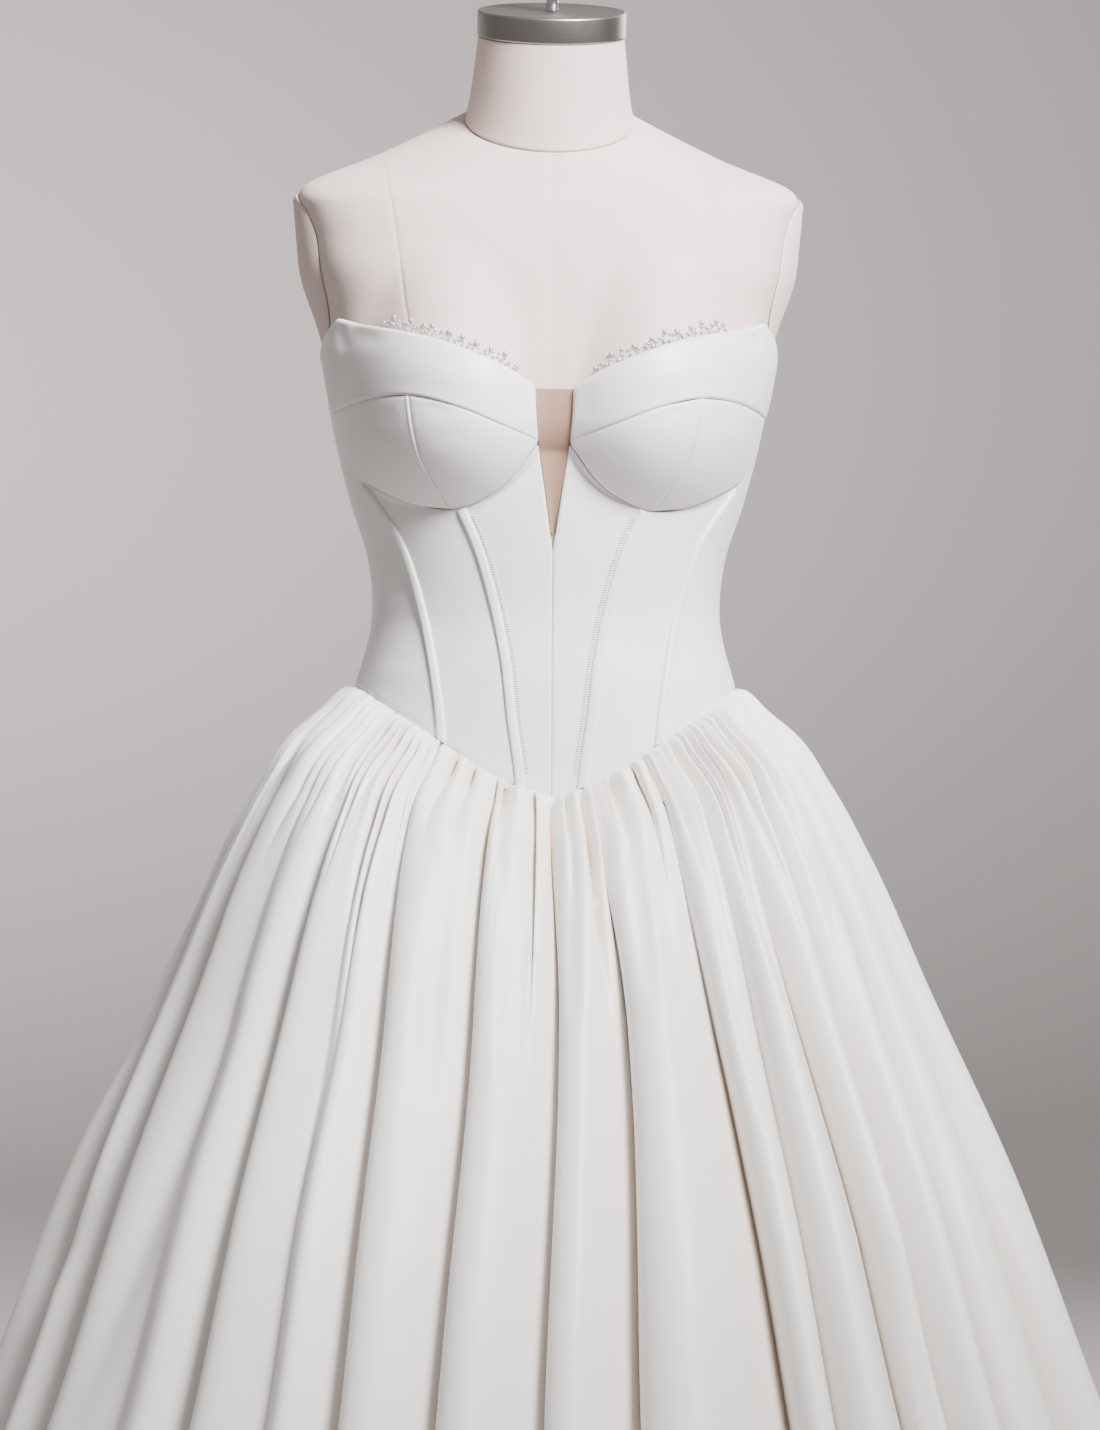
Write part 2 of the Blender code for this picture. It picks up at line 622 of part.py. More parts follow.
def make_plunge_mesh(material):
    """The straight-topped insert of net between the two plunge edges."""
    heights = np.linspace(PLUNGE_POINT + PLUNGE_MESH_START, PLUNGE_EDGE[-1][1] - PLUNGE_MESH_END, 6)
    angles = line_angle(PLUNGE_EDGE, heights)
    right = on_figure(angles, heights, PLUNGE_MESH_LIFT, CUP_BUST)
    right[:, 0] -= PLUNGE_MESH_CLEAR
    share = np.linspace(0, 1, 3)[None, :, None]
    outer = (1 - share) * mirrored(right)[:, None] + share * right[:, None]
    inner = outer + np.array([0.0, MESH_WALL, 0.0])
    make_wall("plunge_mesh", list(outer), list(inner), [np.linspace(0, 1, 3)] * 6, material)


def make_channels(which, line, top, material):
    """A padded boning channel that follows a seam, for each side."""
    start = float(waist_seam(line(np.array(WAIST_LEVEL)))) + CHANNEL_START
    heights = np.linspace(start, top, 11)
    half_width = CHANNEL_WIDTHS[which] / 2
    across = np.array([-1.0, -0.6, 0.6, 1.0])
    rise = np.array([0.35, 1.0, 1.0, 0.35]) * CHANNEL_RISE
    half_angle = half_width / figure_size(heights, "front")
    angles = line(heights)[:, None] + across[None] * half_angle[:, None]
    low = PANEL_LIFT + CHANNEL_CLEAR
    grid_heights = np.broadcast_to(heights[:, None], angles.shape)
    outer = on_figure(angles, grid_heights, low + rise[None], CUP_BUST)
    inner = on_figure(angles, grid_heights, low, CUP_BUST)
    places = [across] * len(heights)
    name = which + "_channel"
    make_wall(name + "_right", list(outer), list(inner), places, material)
    make_wall(name + "_left", list(mirrored(outer)), list(mirrored(inner)), places, material)


def fold_angles(phase, share):
    """Angle of a fold phase at a share of the drop. Whole phases are valleys."""
    waist = [fold.waist for fold in FOLDS]
    low = [fold.low for fold in FOLDS]
    numbers = np.arange(len(FOLDS))
    settle = np.clip(share / FOLD_SETTLES_AT, 0, 1)
    settle = settle * settle * (3 - 2 * settle)
    at_waist = np.interp(phase, numbers, waist)
    lower_down = np.interp(phase, numbers, low)
    return np.radians((1 - settle) * at_waist + settle * lower_down)


def gather_strengths():
    """How deep each small gather is, uneven but the same every time."""
    generator = np.random.default_rng(GATHER_SEED)
    return generator.uniform(0.55, 1.25, GATHERS_PER_FOLD * len(FOLDS))


def skirt_row(phases, row, strengths):
    """Outer and inner points of one row of the skirt, at the given fold phases."""
    turn = phases - np.floor(phases)
    low = np.floor(phases).astype(int) % (len(FOLDS) - 1)
    high = (low + 1) % (len(FOLDS) - 1)
    depth = np.array([fold.depth for fold in FOLDS])
    back = np.array([fold.back for fold in FOLDS])[low]
    lean = np.array([fold.lean for fold in FOLDS])
    nearness = np.where(turn < 0.5, depth[low], depth[high])
    ridge = np.sin(math.pi * turn) ** FOLD_ROUNDNESS
    sunk = row.fold * (nearness * (1 - ridge) + back * ridge)
    gather = phases * GATHERS_PER_FOLD
    crest = np.abs(np.sin(math.pi * gather)) ** GATHER_ROUNDNESS
    strength = strengths[np.floor(gather + 1e-6).astype(int) % len(strengths)]
    near_ridge = np.where(crest > 0.05, strength, 1.0)
    sunk = sunk + row.gather * (1 - crest * np.clip(near_ridge, 0, 1.2))
    angle = fold_angles(phases, row.share)
    top = waist_seam(fold_angles(phases, 0.0))
    drops = [swell.drop for swell in SKIRT_OUTLINE]
    outs = [swell.out for swell in SKIRT_OUTLINE]
    drop = row.share * SIDE_DROP
    out = read_smoothly(drop, drops, outs)
    steep = math.atan2(read_smoothly(drop + SLOPE_STEP, drops, outs) - out, SLOPE_STEP)
    seam = on_figure(angle, waist_seam(angle), 0.0, CUP_BUST)
    reach = PANEL_LIFT + SKIRT_CLEAR + SKIRT_WALL + GATHERED_ROWS[0].gather + out - sunk
    leaning = (lean[low] * (1 - turn) + lean[high] * turn) * sunk * row.share
    towards = np.stack([np.sin(angle), -np.cos(angle)], axis=-1)
    sideways = np.stack([np.cos(angle), np.sin(angle)], axis=-1)
    plan = seam[:, :2] + reach[:, None] * towards + leaning[:, None] * sideways
    height = top + row.share * (HEM_HEIGHT + SKIRT_WALL - top)
    outer = np.column_stack([plan, height])
    slope = np.gradient(sunk) / np.maximum(np.linalg.norm(np.gradient(plan, axis=0), axis=1), 1e-5)
    wall = SKIRT_WALL * np.clip(1 / np.sqrt(np.clip(1 - slope**2, 0.2, 1)), 1, 2.2)
    inner = outer.copy()
    inner[:, :2] -= (wall * math.cos(steep))[:, None] * towards
    inner[:, 2] -= SKIRT_WALL * math.sin(steep)
    return outer, inner


def parted(points, gap):
    """A skirt row with both ends moved in by half a seam gap."""
    points = points.copy()
    for end, inside in ((0, 1), (-1, -2)):
        step = points[inside] - points[end]
        points[end] += gap * step / np.linalg.norm(step)
    return points


def make_skirt(material):
    """Seven gathered panels, each from the valley of one fold to that of another."""
    strengths = gather_strengths()
    fine_steps = GATHERS_PER_FOLD * COLUMNS_PER_GATHER
    for name, first, last in SKIRT_PANELS:
        fine = np.arange(first * fine_steps, last * fine_steps + 1) / fine_steps
        coarse = np.add.outer(np.arange(first, last), COARSE_PHASES).ravel()
        coarse = np.append(coarse, last)
        outer, inner, places = [], [], []
        for rows, phases in ((GATHERED_ROWS, fine), (FOLDED_ROWS, coarse)):
            for row in rows:
                outside, inside = skirt_row(phases, row, strengths)
                outer.append(parted(outside, SEAM_GAP / 2))
                inner.append(parted(inside, SEAM_GAP / 2))
                places.append(phases)
        make_wall(name, outer, inner, places, material)


def closed_rings(name, rings, material):
    """A closed body from rings of points, with a flat or coned cap at each end."""
    count = len(rings[0])
    points = np.concatenate([*rings, rings[0].mean(axis=0)[None], rings[-1].mean(axis=0)[None]])
    faces = []
    for k in range(len(rings) - 1):
        for i in range(count):
            a, b = k * count + i, k * count + (i + 1) % count
            if i < count // 2:
                faces += [(a, b, b + count), (a, b + count, a + count)]
            else:
                faces += [(a, b, a + count), (b, b + count, a + count)]
    first, last = len(points) - 2, len(points) - 1
    top = (len(rings) - 1) * count
    for i in range(count):
        faces.append((first, (i + 1) % count, i))
        faces.append((last, top + i, top + (i + 1) % count))
    return finish_mesh(name, points, faces, material)


def make_torso(material):
    """The padded torso of the form, closed under the hips and at the neck seam."""
    degrees = [*range(-180, -90, 15), *range(-90, -40, 10), *range(-40, 40, 5),
               *range(40, 90, 10), *range(90, 180, 15)]
    angles = np.radians(degrees)
    rings = [on_figure(angles, height, 0.0, FORM_BUST) for height in TORSO_HEIGHTS]
    closed_rings("form_torso", rings, material)


def tilted_ring(centre, radius_x, radius_y, tilt, count):
    """A ring of points whose plane leans by tilt, front down when tilt is positive."""
    angles = np.linspace(0, 2 * math.pi, count, endpoint=False)
    x = radius_x * np.sin(angles)
    y = -radius_y * np.cos(angles)
    return np.stack([centre[0] + x, centre[1] + y * math.cos(tilt),
                     centre[2] + y * math.sin(tilt)], axis=-1)


def make_neck(material):
    """The neck, from the slanted seam on the torso up to the cap."""
    around = np.linspace(0, 2 * math.pi, ROUND_COLUMNS, endpoint=False)
    neck_seam = on_figure(around, NECK_SEAM_HEIGHT, 0.0, FORM_BUST)
    neck_seam[:, 2] += SEAM_GAP
    top = np.array(CAP_CENTRE) - cap_axis() * (CAP_HEIGHT / 2 + SEAM_GAP)
    upper = tilted_ring(top, CAP_RADIUS - CAP_LIP, CAP_RADIUS - CAP_LIP, NECK_LEAN, ROUND_COLUMNS)
    rings = []
    for share, waist in NECK_ROWS:
        ring = (1 - share) * neck_seam + share * upper
        outward = ring - ring.mean(axis=0)
        rings.append(ring - waist * outward / np.linalg.norm(outward, axis=1, keepdims=True))
    closed_rings("form_neck", rings, material)


def cap_axis():
    """Direction in which the leaning neck rises."""
    return np.array([0.0, -math.sin(NECK_LEAN), math.cos(NECK_LEAN)])


def make_turned(name, foot, axis_tilt, profile, material, count=ROUND_COLUMNS):
    """A turned piece: profile rows are (height along the axis, radius)."""
    axis = np.array([0.0, -math.sin(axis_tilt), math.cos(axis_tilt)])
    rings = [tilted_ring(np.array(foot) + axis * height, radius, radius, axis_tilt, count)
             for height, radius in profile]
    closed_rings(name, rings, material)


def make_hardware(steel, chrome, pole_metal):
    """Neck cap, stud and rod above, and the pole and base under the skirt."""
    axis = cap_axis()
    edge = CAP_EDGE
    foot = np.array(CAP_CENTRE) - axis * CAP_HEIGHT / 2
    make_turned("neck_cap", foot, NECK_LEAN,
                ((0, CAP_RADIUS - edge), (edge, CAP_RADIUS), (CAP_HEIGHT - edge, CAP_RADIUS),
                 (CAP_HEIGHT, CAP_RADIUS - edge)), steel, 48)
    stud_foot = foot + axis * (CAP_HEIGHT + SEAM_GAP)
    make_turned("cap_stud", stud_foot, NECK_LEAN,
                ((0, STUD_RADIUS), (STUD_HEIGHT, STUD_RADIUS)), chrome, 16)
    rod_foot = stud_foot + axis * (STUD_HEIGHT + SEAM_GAP)
    make_turned("cap_rod", rod_foot, NECK_LEAN,
                ((0, ROD_RADIUS), (ROD_HEIGHT - ROD_END, ROD_RADIUS),
                 (ROD_HEIGHT, ROD_RADIUS - ROD_END)), chrome, 24)
    make_turned("stand_base", (0, 0, 0), 0.0,
                ((0, BASE_RADIUS), (BASE_HEIGHT - BASE_EDGE, BASE_RADIUS),
                 (BASE_HEIGHT, BASE_RADIUS - BASE_EDGE)), pole_metal, 40)
    make_turned("stand_pole", (0, 0, BASE_HEIGHT + SEAM_GAP), 0.0,
                ((0, POLE_RADIUS), (TORSO_BOTTOM - BASE_HEIGHT - 2 * SEAM_GAP, POLE_RADIUS)),
                pole_metal, 24)


def make_arm_plates(material):
    """Rounded pads that close the armholes of the form."""
    turns = np.linspace(0, 2 * math.pi, ARM_PLATE_POINTS, endpoint=False)
    torso_widths = figure_size(np.array(TORSO_HEIGHTS), "half_width")
    inner_rings, outer_rings = [], []
    for share in ARM_PLATE_RINGS:
        y = ARM_PLATE_CENTRE[0] + share * ARM_PLATE_RADII[0] * np.cos(turns)
        z = ARM_PLATE_CENTRE[1] + share * ARM_PLATE_RADII[1] * np.sin(turns)
        depth = np.where(y < 0, figure_size(z, "front"), figure_size(z, "back"))
        square = figure_size(z, "square")
        wide = np.interp(z, TORSO_HEIGHTS, torso_widths)
        side = wide * (1 - (np.abs(y) / depth) ** square) ** (1 / square)
        clear = ARM_PLATE_CLEAR + ARM_PLATE_HOLLOW * (1 - share**2)
        rise = ARM_PLATE_EDGE + ARM_PLATE_RISE * (1 - share**2)
        inner_rings.append(np.stack([side + clear, y, z], axis=-1))
        outer_rings.append(np.stack([side + clear + rise, y, z], axis=-1))
    rings = inner_rings + outer_rings[::-1]
    closed_rings("arm_plate_right", rings, material)
    closed_rings("arm_plate_left", [mirrored(ring) for ring in rings], material)


def main():
    """Builds every piece."""
    clear_scene()
    satin = make_material("ivory_satin", (0.86, 0.845, 0.82), 0.38)
    net = make_material("nude_mesh", (0.62, 0.52, 0.44), 0.75)
    pearl_net = make_material("pearl_net", (0.80, 0.77, 0.74), 0.35)
    linen = make_material("form_linen", (0.74, 0.68, 0.65), 0.85)
    steel = make_material("brushed_steel", (0.55, 0.55, 0.54), 0.32, 1.0)
    chrome = make_material("chrome", (0.80, 0.80, 0.80), 0.10, 1.0)
    pole_metal = make_material("painted_metal", (0.75, 0.74, 0.72), 0.45, 0.0)
    make_torso(linen)
    make_neck(linen)
    make_arm_plates(linen)
    make_hardware(steel, chrome, pole_metal)
    make_centre_front_panels(satin)
    make_front_side_panels(satin)
    make_side_panels(satin)
    make_back_panels(satin)
    make_back_placket(satin)
    make_cups(satin)
    make_bands(satin)
    make_channels("inner", inner_line, INNER_CHANNEL_TOP, satin)
    make_channels("outer", outer_line, OUTER_CHANNEL_TOP, satin)
    make_pearl_strips(pearl_net)
    make_plunge_mesh(net)
    make_skirt(satin)


main()
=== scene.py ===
"""A strapless satin wedding dress on its dress form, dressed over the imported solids.

Metres, +Z up. The front of the dress faces -Y and the pole stands on the Z axis. Angles
run from the front, 0, towards +X, 90 at the right side and 180 at the back. A "share"
runs from 0 to 1 along a piece.
"""
import logging
import math
from dataclasses import dataclass, field
from enum import Enum
from typing import Callable, NamedTuple

import bmesh
import bpy
import numpy as np
from mathutils import Matrix, Vector


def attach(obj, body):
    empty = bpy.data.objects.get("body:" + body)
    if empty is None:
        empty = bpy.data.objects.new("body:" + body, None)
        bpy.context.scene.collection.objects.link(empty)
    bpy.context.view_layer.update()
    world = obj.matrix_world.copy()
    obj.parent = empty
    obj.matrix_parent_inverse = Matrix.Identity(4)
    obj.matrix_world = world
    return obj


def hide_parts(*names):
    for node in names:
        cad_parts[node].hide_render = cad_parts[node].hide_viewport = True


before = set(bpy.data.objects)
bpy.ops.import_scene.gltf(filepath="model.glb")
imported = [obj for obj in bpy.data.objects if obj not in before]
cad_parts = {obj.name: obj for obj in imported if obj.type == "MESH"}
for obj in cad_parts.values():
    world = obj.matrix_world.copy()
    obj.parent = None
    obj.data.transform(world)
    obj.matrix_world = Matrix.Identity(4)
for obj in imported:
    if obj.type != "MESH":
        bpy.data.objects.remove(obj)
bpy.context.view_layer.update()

LOG = logging.getLogger("wedding_dress")
CLOTH = "_cloth"
Array = np.ndarray
Points = tuple[tuple[float, float], ...]
BODY = "root"
TURN = 2 * math.pi


class Slot(Enum):
    """The record's material slots."""

    SATIN = "ivory_satin"
    NUDE_MESH = "nude_mesh"
    PEARL_NET = "pearl_net"
    LINEN = "form_linen"
    STEEL = "brushed_cap"
    CHROME = "chrome_rod"
    PAINT = "stand_paint"


class Side(Enum):
    """The two halves of the dress, as the sign of X."""

    RIGHT = 1.0
    LEFT = -1.0

    @property
    def label(self) -> str:
        """The end of a piece's name."""
        return "_" + self.name.lower()

    @property
    def mirror(self) -> Array:
        """Factors of X, Y and Z that carry the right half's points to this side."""
        return np.array([self.value, 1.0, 1.0])


class Section(NamedTuple):
    """A level section of the figure. tilt is in degrees, and square 2 is an ellipse."""

    height: float
    half_width: float
    front: float
    back: float
    tilt: float
    square: float


class Bust(NamedTuple):
    """The dome that a cup or the form has over the plain figure."""

    rise: float
    side: float
    lower: float
    upper: float
    shape: float
    softness: float


class Fold(NamedTuple):
    """A large fold: its valley's angle at the waist and low down, and its form."""

    waist: float
    low: float
    depth: float
    back: float
    lean: float


class Swell(NamedTuple):
    """How far the skirt stands out past the waist seam at a drop below it."""

    drop: float
    out: float


class Crease(NamedTuple):
    """A soft trough along a line, or a ridge where depth is negative.

    Across is the distance from the centre on the bodice, and degrees round the skirt.
    """

    across_start: float
    height_start: float
    across_end: float
    height_end: float
    width: float
    depth: float


FORM_BUST = Bust(0.031, 0.06, 0.054, 0.13, 2.0, 1.5)
CUP_BUST = Bust(0.039, 0.07, 0.062, 0.1, 2.15, 1.0)


def read_smoothly(at: Array, knots: Array, values: Array) -> Array:
    """Read values over rising knots with a cubic.

    Between two knots the cubic meets both, and its slope at a knot is that between the
    knot's neighbours.

    Args:
        at: where to read.
        knots: rising places.
        values: the value at each knot.

    Returns:
        One value for each place.
    """
    knots = np.asarray(knots, float)
    values = np.asarray(values, float)
    at = np.clip(at, knots[0], knots[-1])
    slopes = np.gradient(values, knots)
    left = np.clip(np.searchsorted(knots, at, side="right") - 1, 0, len(knots) - 2)
    step = knots[left + 1] - knots[left]
    t = (at - knots[left]) / step
    start = values[left] * (1 + 2 * t) * (1 - t) ** 2 + slopes[left] * step * t * (1 - t) ** 2
    end = values[left + 1] * t**2 * (3 - 2 * t) - slopes[left + 1] * step * t**2 * (1 - t)
    return start + end


def read_table(at: Array, table: Points) -> Array:
    """Read the second column of a table smoothly over its rising first one."""
    knots, values = zip(*table)
    return read_smoothly(at, knots, values)


def ease(value: Array) -> Array:
    """A smooth step from 0 to 1: three squares less two cubes."""
    value = np.clip(value, 0, 1)
    return value * value * (3 - 2 * value)


def crowded(count: int, near: float) -> Array:
    """Shares from 0 to 1 with extra places close to both ends.

    Args:
        count: spaces between the crowded ends.
        near: how far the crowded ends reach, as a share.

    Returns:
        The rising shares.
    """
    near = min(near, 0.3)
    ends = near * np.array([0.0, 0.12, 0.3, 0.55, 0.8])
    return np.concatenate([ends, np.linspace(near, 1 - near, count + 1), 1 - ends[::-1]])


@dataclass(frozen=True)
class Figure:
    """The general figure under the dress, read between level sections."""

    bust_height: float = 1.19
    bust_from_centre: float = 0.075
    sections: tuple[Section, ...] = (
        Section(0.8, 0.158, 0.098, 0.112, 0, 2.2),
        Section(0.86, 0.1665, 0.104, 0.122, 0, 2.2),
        Section(0.93, 0.1575, 0.1045, 0.114, 0, 2.2),
        Section(1.006, 0.132, 0.0995, 0.098, 0, 2.2),
        Section(1.055, 0.12, 0.0945, 0.09, 0, 2.2),
        Section(1.099, 0.1235, 0.0975, 0.092, 0, 2.25),
        Section(1.135, 0.135, 0.1005, 0.095, 0, 2.3),
        Section(1.184, 0.1475, 0.103, 0.099, 0, 2.45),
        Section(1.231, 0.155, 0.102, 0.102, 0, 2.65),
        Section(1.262, 0.155, 0.097, 0.1035, 0, 2.8),
        Section(1.3, 0.164, 0.091, 0.103, 1, 2.8),
        Section(1.325, 0.1685, 0.0855, 0.1, 3, 2.5),
        Section(1.343, 0.1738, 0.08, 0.0945, 5, 2.3),
        Section(1.354, 0.1775, 0.0765, 0.09, 7, 2.1),
        Section(1.361, 0.1735, 0.0725, 0.086, 9, 2.0),
        Section(1.382, 0.123, 0.066, 0.074, 17, 2.0),
        Section(1.409, 0.0605, 0.058, 0.052, 28, 2.0),
    )

    def size(self, height: Array, name: str) -> Array:
        """One size of the section at a height."""
        heights = [section.height for section in self.sections]
        return read_smoothly(height, heights, [getattr(row, name) for row in self.sections])

    def rise(self, x: Array, height: Array, bust: Bust) -> Array:
        """How far the bust stands out: one less a power of the distance, to a power.

        Args:
            x: distance from the centre, of either sign.
            height: height of each place.
            bust: the dome.

        Returns:
            The rise, 0 outside the dome.
        """
        across = (np.abs(x) - self.bust_from_centre) / bust.side
        reach = np.where(height < self.bust_height, bust.lower, bust.upper)
        away = np.hypot(across, (height - self.bust_height) / reach)
        return bust.rise * np.clip(1 - away**bust.shape, 0, None) ** bust.softness

    def at(self, angle: Array, height: Array, lift: Array, bust: Bust = CUP_BUST) -> Array:
        """Points on the figure.

        Each section is a rounded rectangle: the sine and cosine of the angle, each to the
        power two over square, times the half width and the depth, with the bust added
        forwards and the whole leant back by the tilt.

        Args:
            angle: angle round the figure, in radians.
            height: height of the section.
            lift: how far the points stand off the figure.
            bust: the dome to add at the front.

        Returns:
            Points, with X, Y and Z last.
        """
        angle, height, lift = np.broadcast_arrays(
            np.asarray(angle, float), np.asarray(height, float), np.asarray(lift, float))
        power = 2 / self.size(height, "square")
        sine, cosine = np.sin(angle), np.cos(angle)
        half_width = self.size(height, "half_width")
        depth = np.where(cosine > 0, self.size(height, "front"), self.size(height, "back"))
        across = np.sign(sine) * np.abs(sine) ** power
        along = np.sign(cosine) * np.abs(cosine) ** power
        rise = np.where(cosine > 0, self.rise(half_width * across, height, bust), 0.0)
        y = -(depth + lift) * along
        tilt = np.radians(self.size(height, "tilt"))
        return np.stack([(half_width + lift) * across, y - rise,
                         height + np.tan(tilt) * y], axis=-1)

    def angle_at(self, x: Array, height: Array) -> Array:
        """Angle of a place on the front, from its distance to the centre.

        Args:
            x: distance from the centre.
            height: height of each place.

        Returns:
            The angle, in radians.
        """
        half_width = self.size(height, "half_width") + Layers.panel
        share = np.clip(np.asarray(x) / half_width, 0, 0.9995)
        return np.arcsin(share ** (self.size(height, "square") / 2))


class Layers:
    """How far each layer's outer face stands off the form."""

    panel = 0.0035
    cup = 0.0047
    band = 0.0055
    band_flare = 0.003
    placket = 0.005


FIGURE = Figure()
UNDERARM = 1.239


@dataclass(frozen=True)
class SeamLine:
    """A rising seam of the right half, as (distance from the centre, height)."""

    points: Points

    def x_at(self, height: Array) -> Array:
        """Distance from the centre at a height."""
        x, heights = zip(*self.points)
        return read_smoothly(height, heights, x)

    def angle(self, height: Array) -> Array:
        """Angle at which the seam passes a height."""
        low, high = self.points[0][1], self.points[-1][1]
        return FIGURE.angle_at(self.x_at(height), np.clip(height, low, high))

    def along(self, shares: Array) -> Array:
        """Places along the line by share of its length, as (angle, height).

        Args:
            shares: shares of the length of the line's chords.

        Returns:
            An angle and a height for each share.
        """
        line = np.asarray(self.points, float)
        lengths = np.concatenate([[0], np.cumsum(np.hypot(*np.diff(line, axis=0).T))])
        at = np.asarray(shares) * lengths[-1]
        height = read_smoothly(at, lengths, line[:, 1])
        x = read_smoothly(at, lengths, line[:, 0])
        return np.stack([FIGURE.angle_at(x, height), height], axis=-1)


class Seams:
    """The seam lines of the bodice, the same on both sides."""

    plunge_point = 1.1
    side_back = math.radians(118.0)
    plunge = SeamLine(((0.0, 1.1), (0.005, 1.1345), (0.0108, 1.174), (0.0136, 1.211)))
    inner = SeamLine(((0.0205, 0.93), (0.0215, 0.945), (0.027, 0.985), (0.032, 1.028),
                      (0.04, 1.066), (0.052, 1.105), (0.0625, 1.1285)))
    outer = SeamLine(((0.074, 0.96), (0.075, 0.9775), (0.0805, 1.021), (0.089, 1.0625),
                      (0.105, 1.109), (0.131, 1.149), (0.151, 1.1975), (0.158, 1.239)))
    wire = SeamLine(((0.0112, 1.172), (0.035, 1.143), (0.052, 1.133), (0.0625, 1.1285),
                     (0.07, 1.128), (0.093, 1.131), (0.108, 1.1365), (0.131, 1.149)))
    cup = SeamLine(((0.07, 1.128), (0.078, 1.14), (0.09, 1.16), (0.096, 1.181),
                    (0.099, 1.203)))
    band_bottom = SeamLine(((0.0108, 1.174), (0.037, 1.1835), (0.069, 1.1955),
                            (0.099, 1.203), (0.125, 1.2025), (0.151, 1.1975)))
    band_top = SeamLine(((0.0136, 1.211), (0.026, 1.219), (0.054, 1.2315),
                         (0.076, 1.24), (0.102, 1.2475), (0.127, 1.2545),
                         (0.145, 1.261)))
    band_side = SeamLine(((0.151, 1.1975), (0.158, 1.239), (0.1535, 1.252),
                          (0.145, 1.261)))
    waist: Points = ((0, 0.9317), (8, 0.94), (20, 0.957), (33, 0.9745), (48, 0.989),
                     (65, 1.001), (90, 1.0067), (115, 1.003), (150, 0.99), (180, 0.98))
    back_top: Points = ((84.0, 1.238), (118.0, 1.232), (150.0, 1.218), (180.0, 1.208))

    @classmethod
    def waist_height(cls, angle: Array) -> Array:
        """Height of the waist seam at an angle."""
        turned = np.degrees(np.abs((np.asarray(angle) + math.pi) % TURN - math.pi))
        return read_table(turned, cls.waist)

    @classmethod
    def back_height(cls, angle: Array) -> Array:
        """Height of the upper edge from the underarm to the centre back."""
        return read_table(np.degrees(angle), cls.back_top)

    @classmethod
    def centre(cls, height: Array) -> Array:
        """Angle of the centre-front seam, and of the plunge edge above its point."""
        return np.where(height > cls.plunge_point, cls.plunge.angle(height), 0.0)

    @classmethod
    def inner_and_wire(cls, height: Array) -> Array:
        """Angle of the inner seam, and above it of the underwire up to the plunge.

        Args:
            height: height of each place.

        Returns:
            The angles. Those beside the wire keep clear of the cup.
        """
        foot = cls.inner.points[-1][1]
        rising = cls.inner_wire().along(np.linspace(1, 0, 200))
        clear = math.radians(0.15) * np.clip((height - foot) / 0.005, 0, 1)
        return np.where(height > foot, np.interp(height, rising[:, 1], rising[:, 0]) - clear,
                        cls.inner.angle(height))

    @classmethod
    def inner_wire(cls) -> SeamLine:
        """The underwire from the plunge to the seam between the two lower cups.

        Returns:
            The line, whose tip is a little lower and further out than the wire's own.
        """
        tip = (cls.wire.points[0][0] + 0.0005, cls.wire.points[0][1] - 0.0006)
        rest = tuple(p for p in cls.wire.points[1:] if p[0] <= cls.cup.points[0][0])
        return SeamLine((tip, *rest))


def between_edges(bottom: Array, top: Array, left: Array, right: Array,
                  across: Array, up: Array) -> Array:
    """Fill four edges that share their corners.

    The blend of bottom and top, plus the blend of left and right, less the blend of the
    four corners.

    Args:
        bottom: (angle, height) along the lower edge.
        top: the same along the upper edge.
        left: the same up the left edge.
        right: the same up the right edge.
        across: shares of the columns.
        up: shares of the rows.

    Returns:
        A grid of (angle, height).
    """
    s, t = across[None, :, None], up[:, None, None]
    rows = (1 - t) * bottom[None] + t * top[None]
    columns = (1 - s) * left[:, None] + s * right[:, None]
    corners = ((1 - s) * (1 - t) * bottom[0] + s * (1 - t) * bottom[-1]
               + (1 - s) * t * top[0] + s * t * top[-1])
    return rows + columns - corners


def between_lines(left: Callable[[Array], Array], right: Callable[[Array], Array],
                  bottom: Callable[[Array], Array], top: Callable[[Array], Array],
                  across: Array, up: Array) -> Array:
    """Fill the space between two rising lines.

    The height runs from bottom to top at each share across, and the angle from the left
    line to the right one at that height.

    Args:
        left: angle of the left line at a height.
        right: angle of the right line at a height.
        bottom: lower height at a share across.
        top: upper height at a share across.
        across: shares of the columns.
        up: shares of the rows.

    Returns:
        A grid of (angle, height).
    """
    heights = bottom(across)[None] + up[:, None] * (top(across) - bottom(across))[None]
    angles = (1 - across)[None] * left(heights) + across[None] * right(heights)
    return np.stack([angles, heights], axis=-1)


def lengths(points: Array, axis: int) -> Array:
    """Distance walked along a grid's rows or columns from its first point.

    Args:
        points: a grid of points.
        axis: 1 to walk along the rows and 0 up the columns.

    Returns:
        The distance at each point.
    """
    steps = np.linalg.norm(np.diff(points, axis=axis), axis=-1)
    pad = [(0, 0), (0, 0)]
    pad[axis] = (1, 0)
    return np.pad(np.cumsum(steps, axis=axis), pad)


def moved_in(grid: Array, gap: float) -> Array:
    """A grid with its four borders moved in by gap, along the surface.

    Args:
        grid: a grid of points.
        gap: how far they move.

    Returns:
        The new grid.
    """
    grid = grid.copy()
    for lines in (grid, grid.swapaxes(0, 1)):
        for border, inside in ((0, 1), (-1, -2)):
            step = lines[inside] - lines[border]
            lines[border] += gap * step / np.linalg.norm(step, axis=-1, keepdims=True)
    return grid


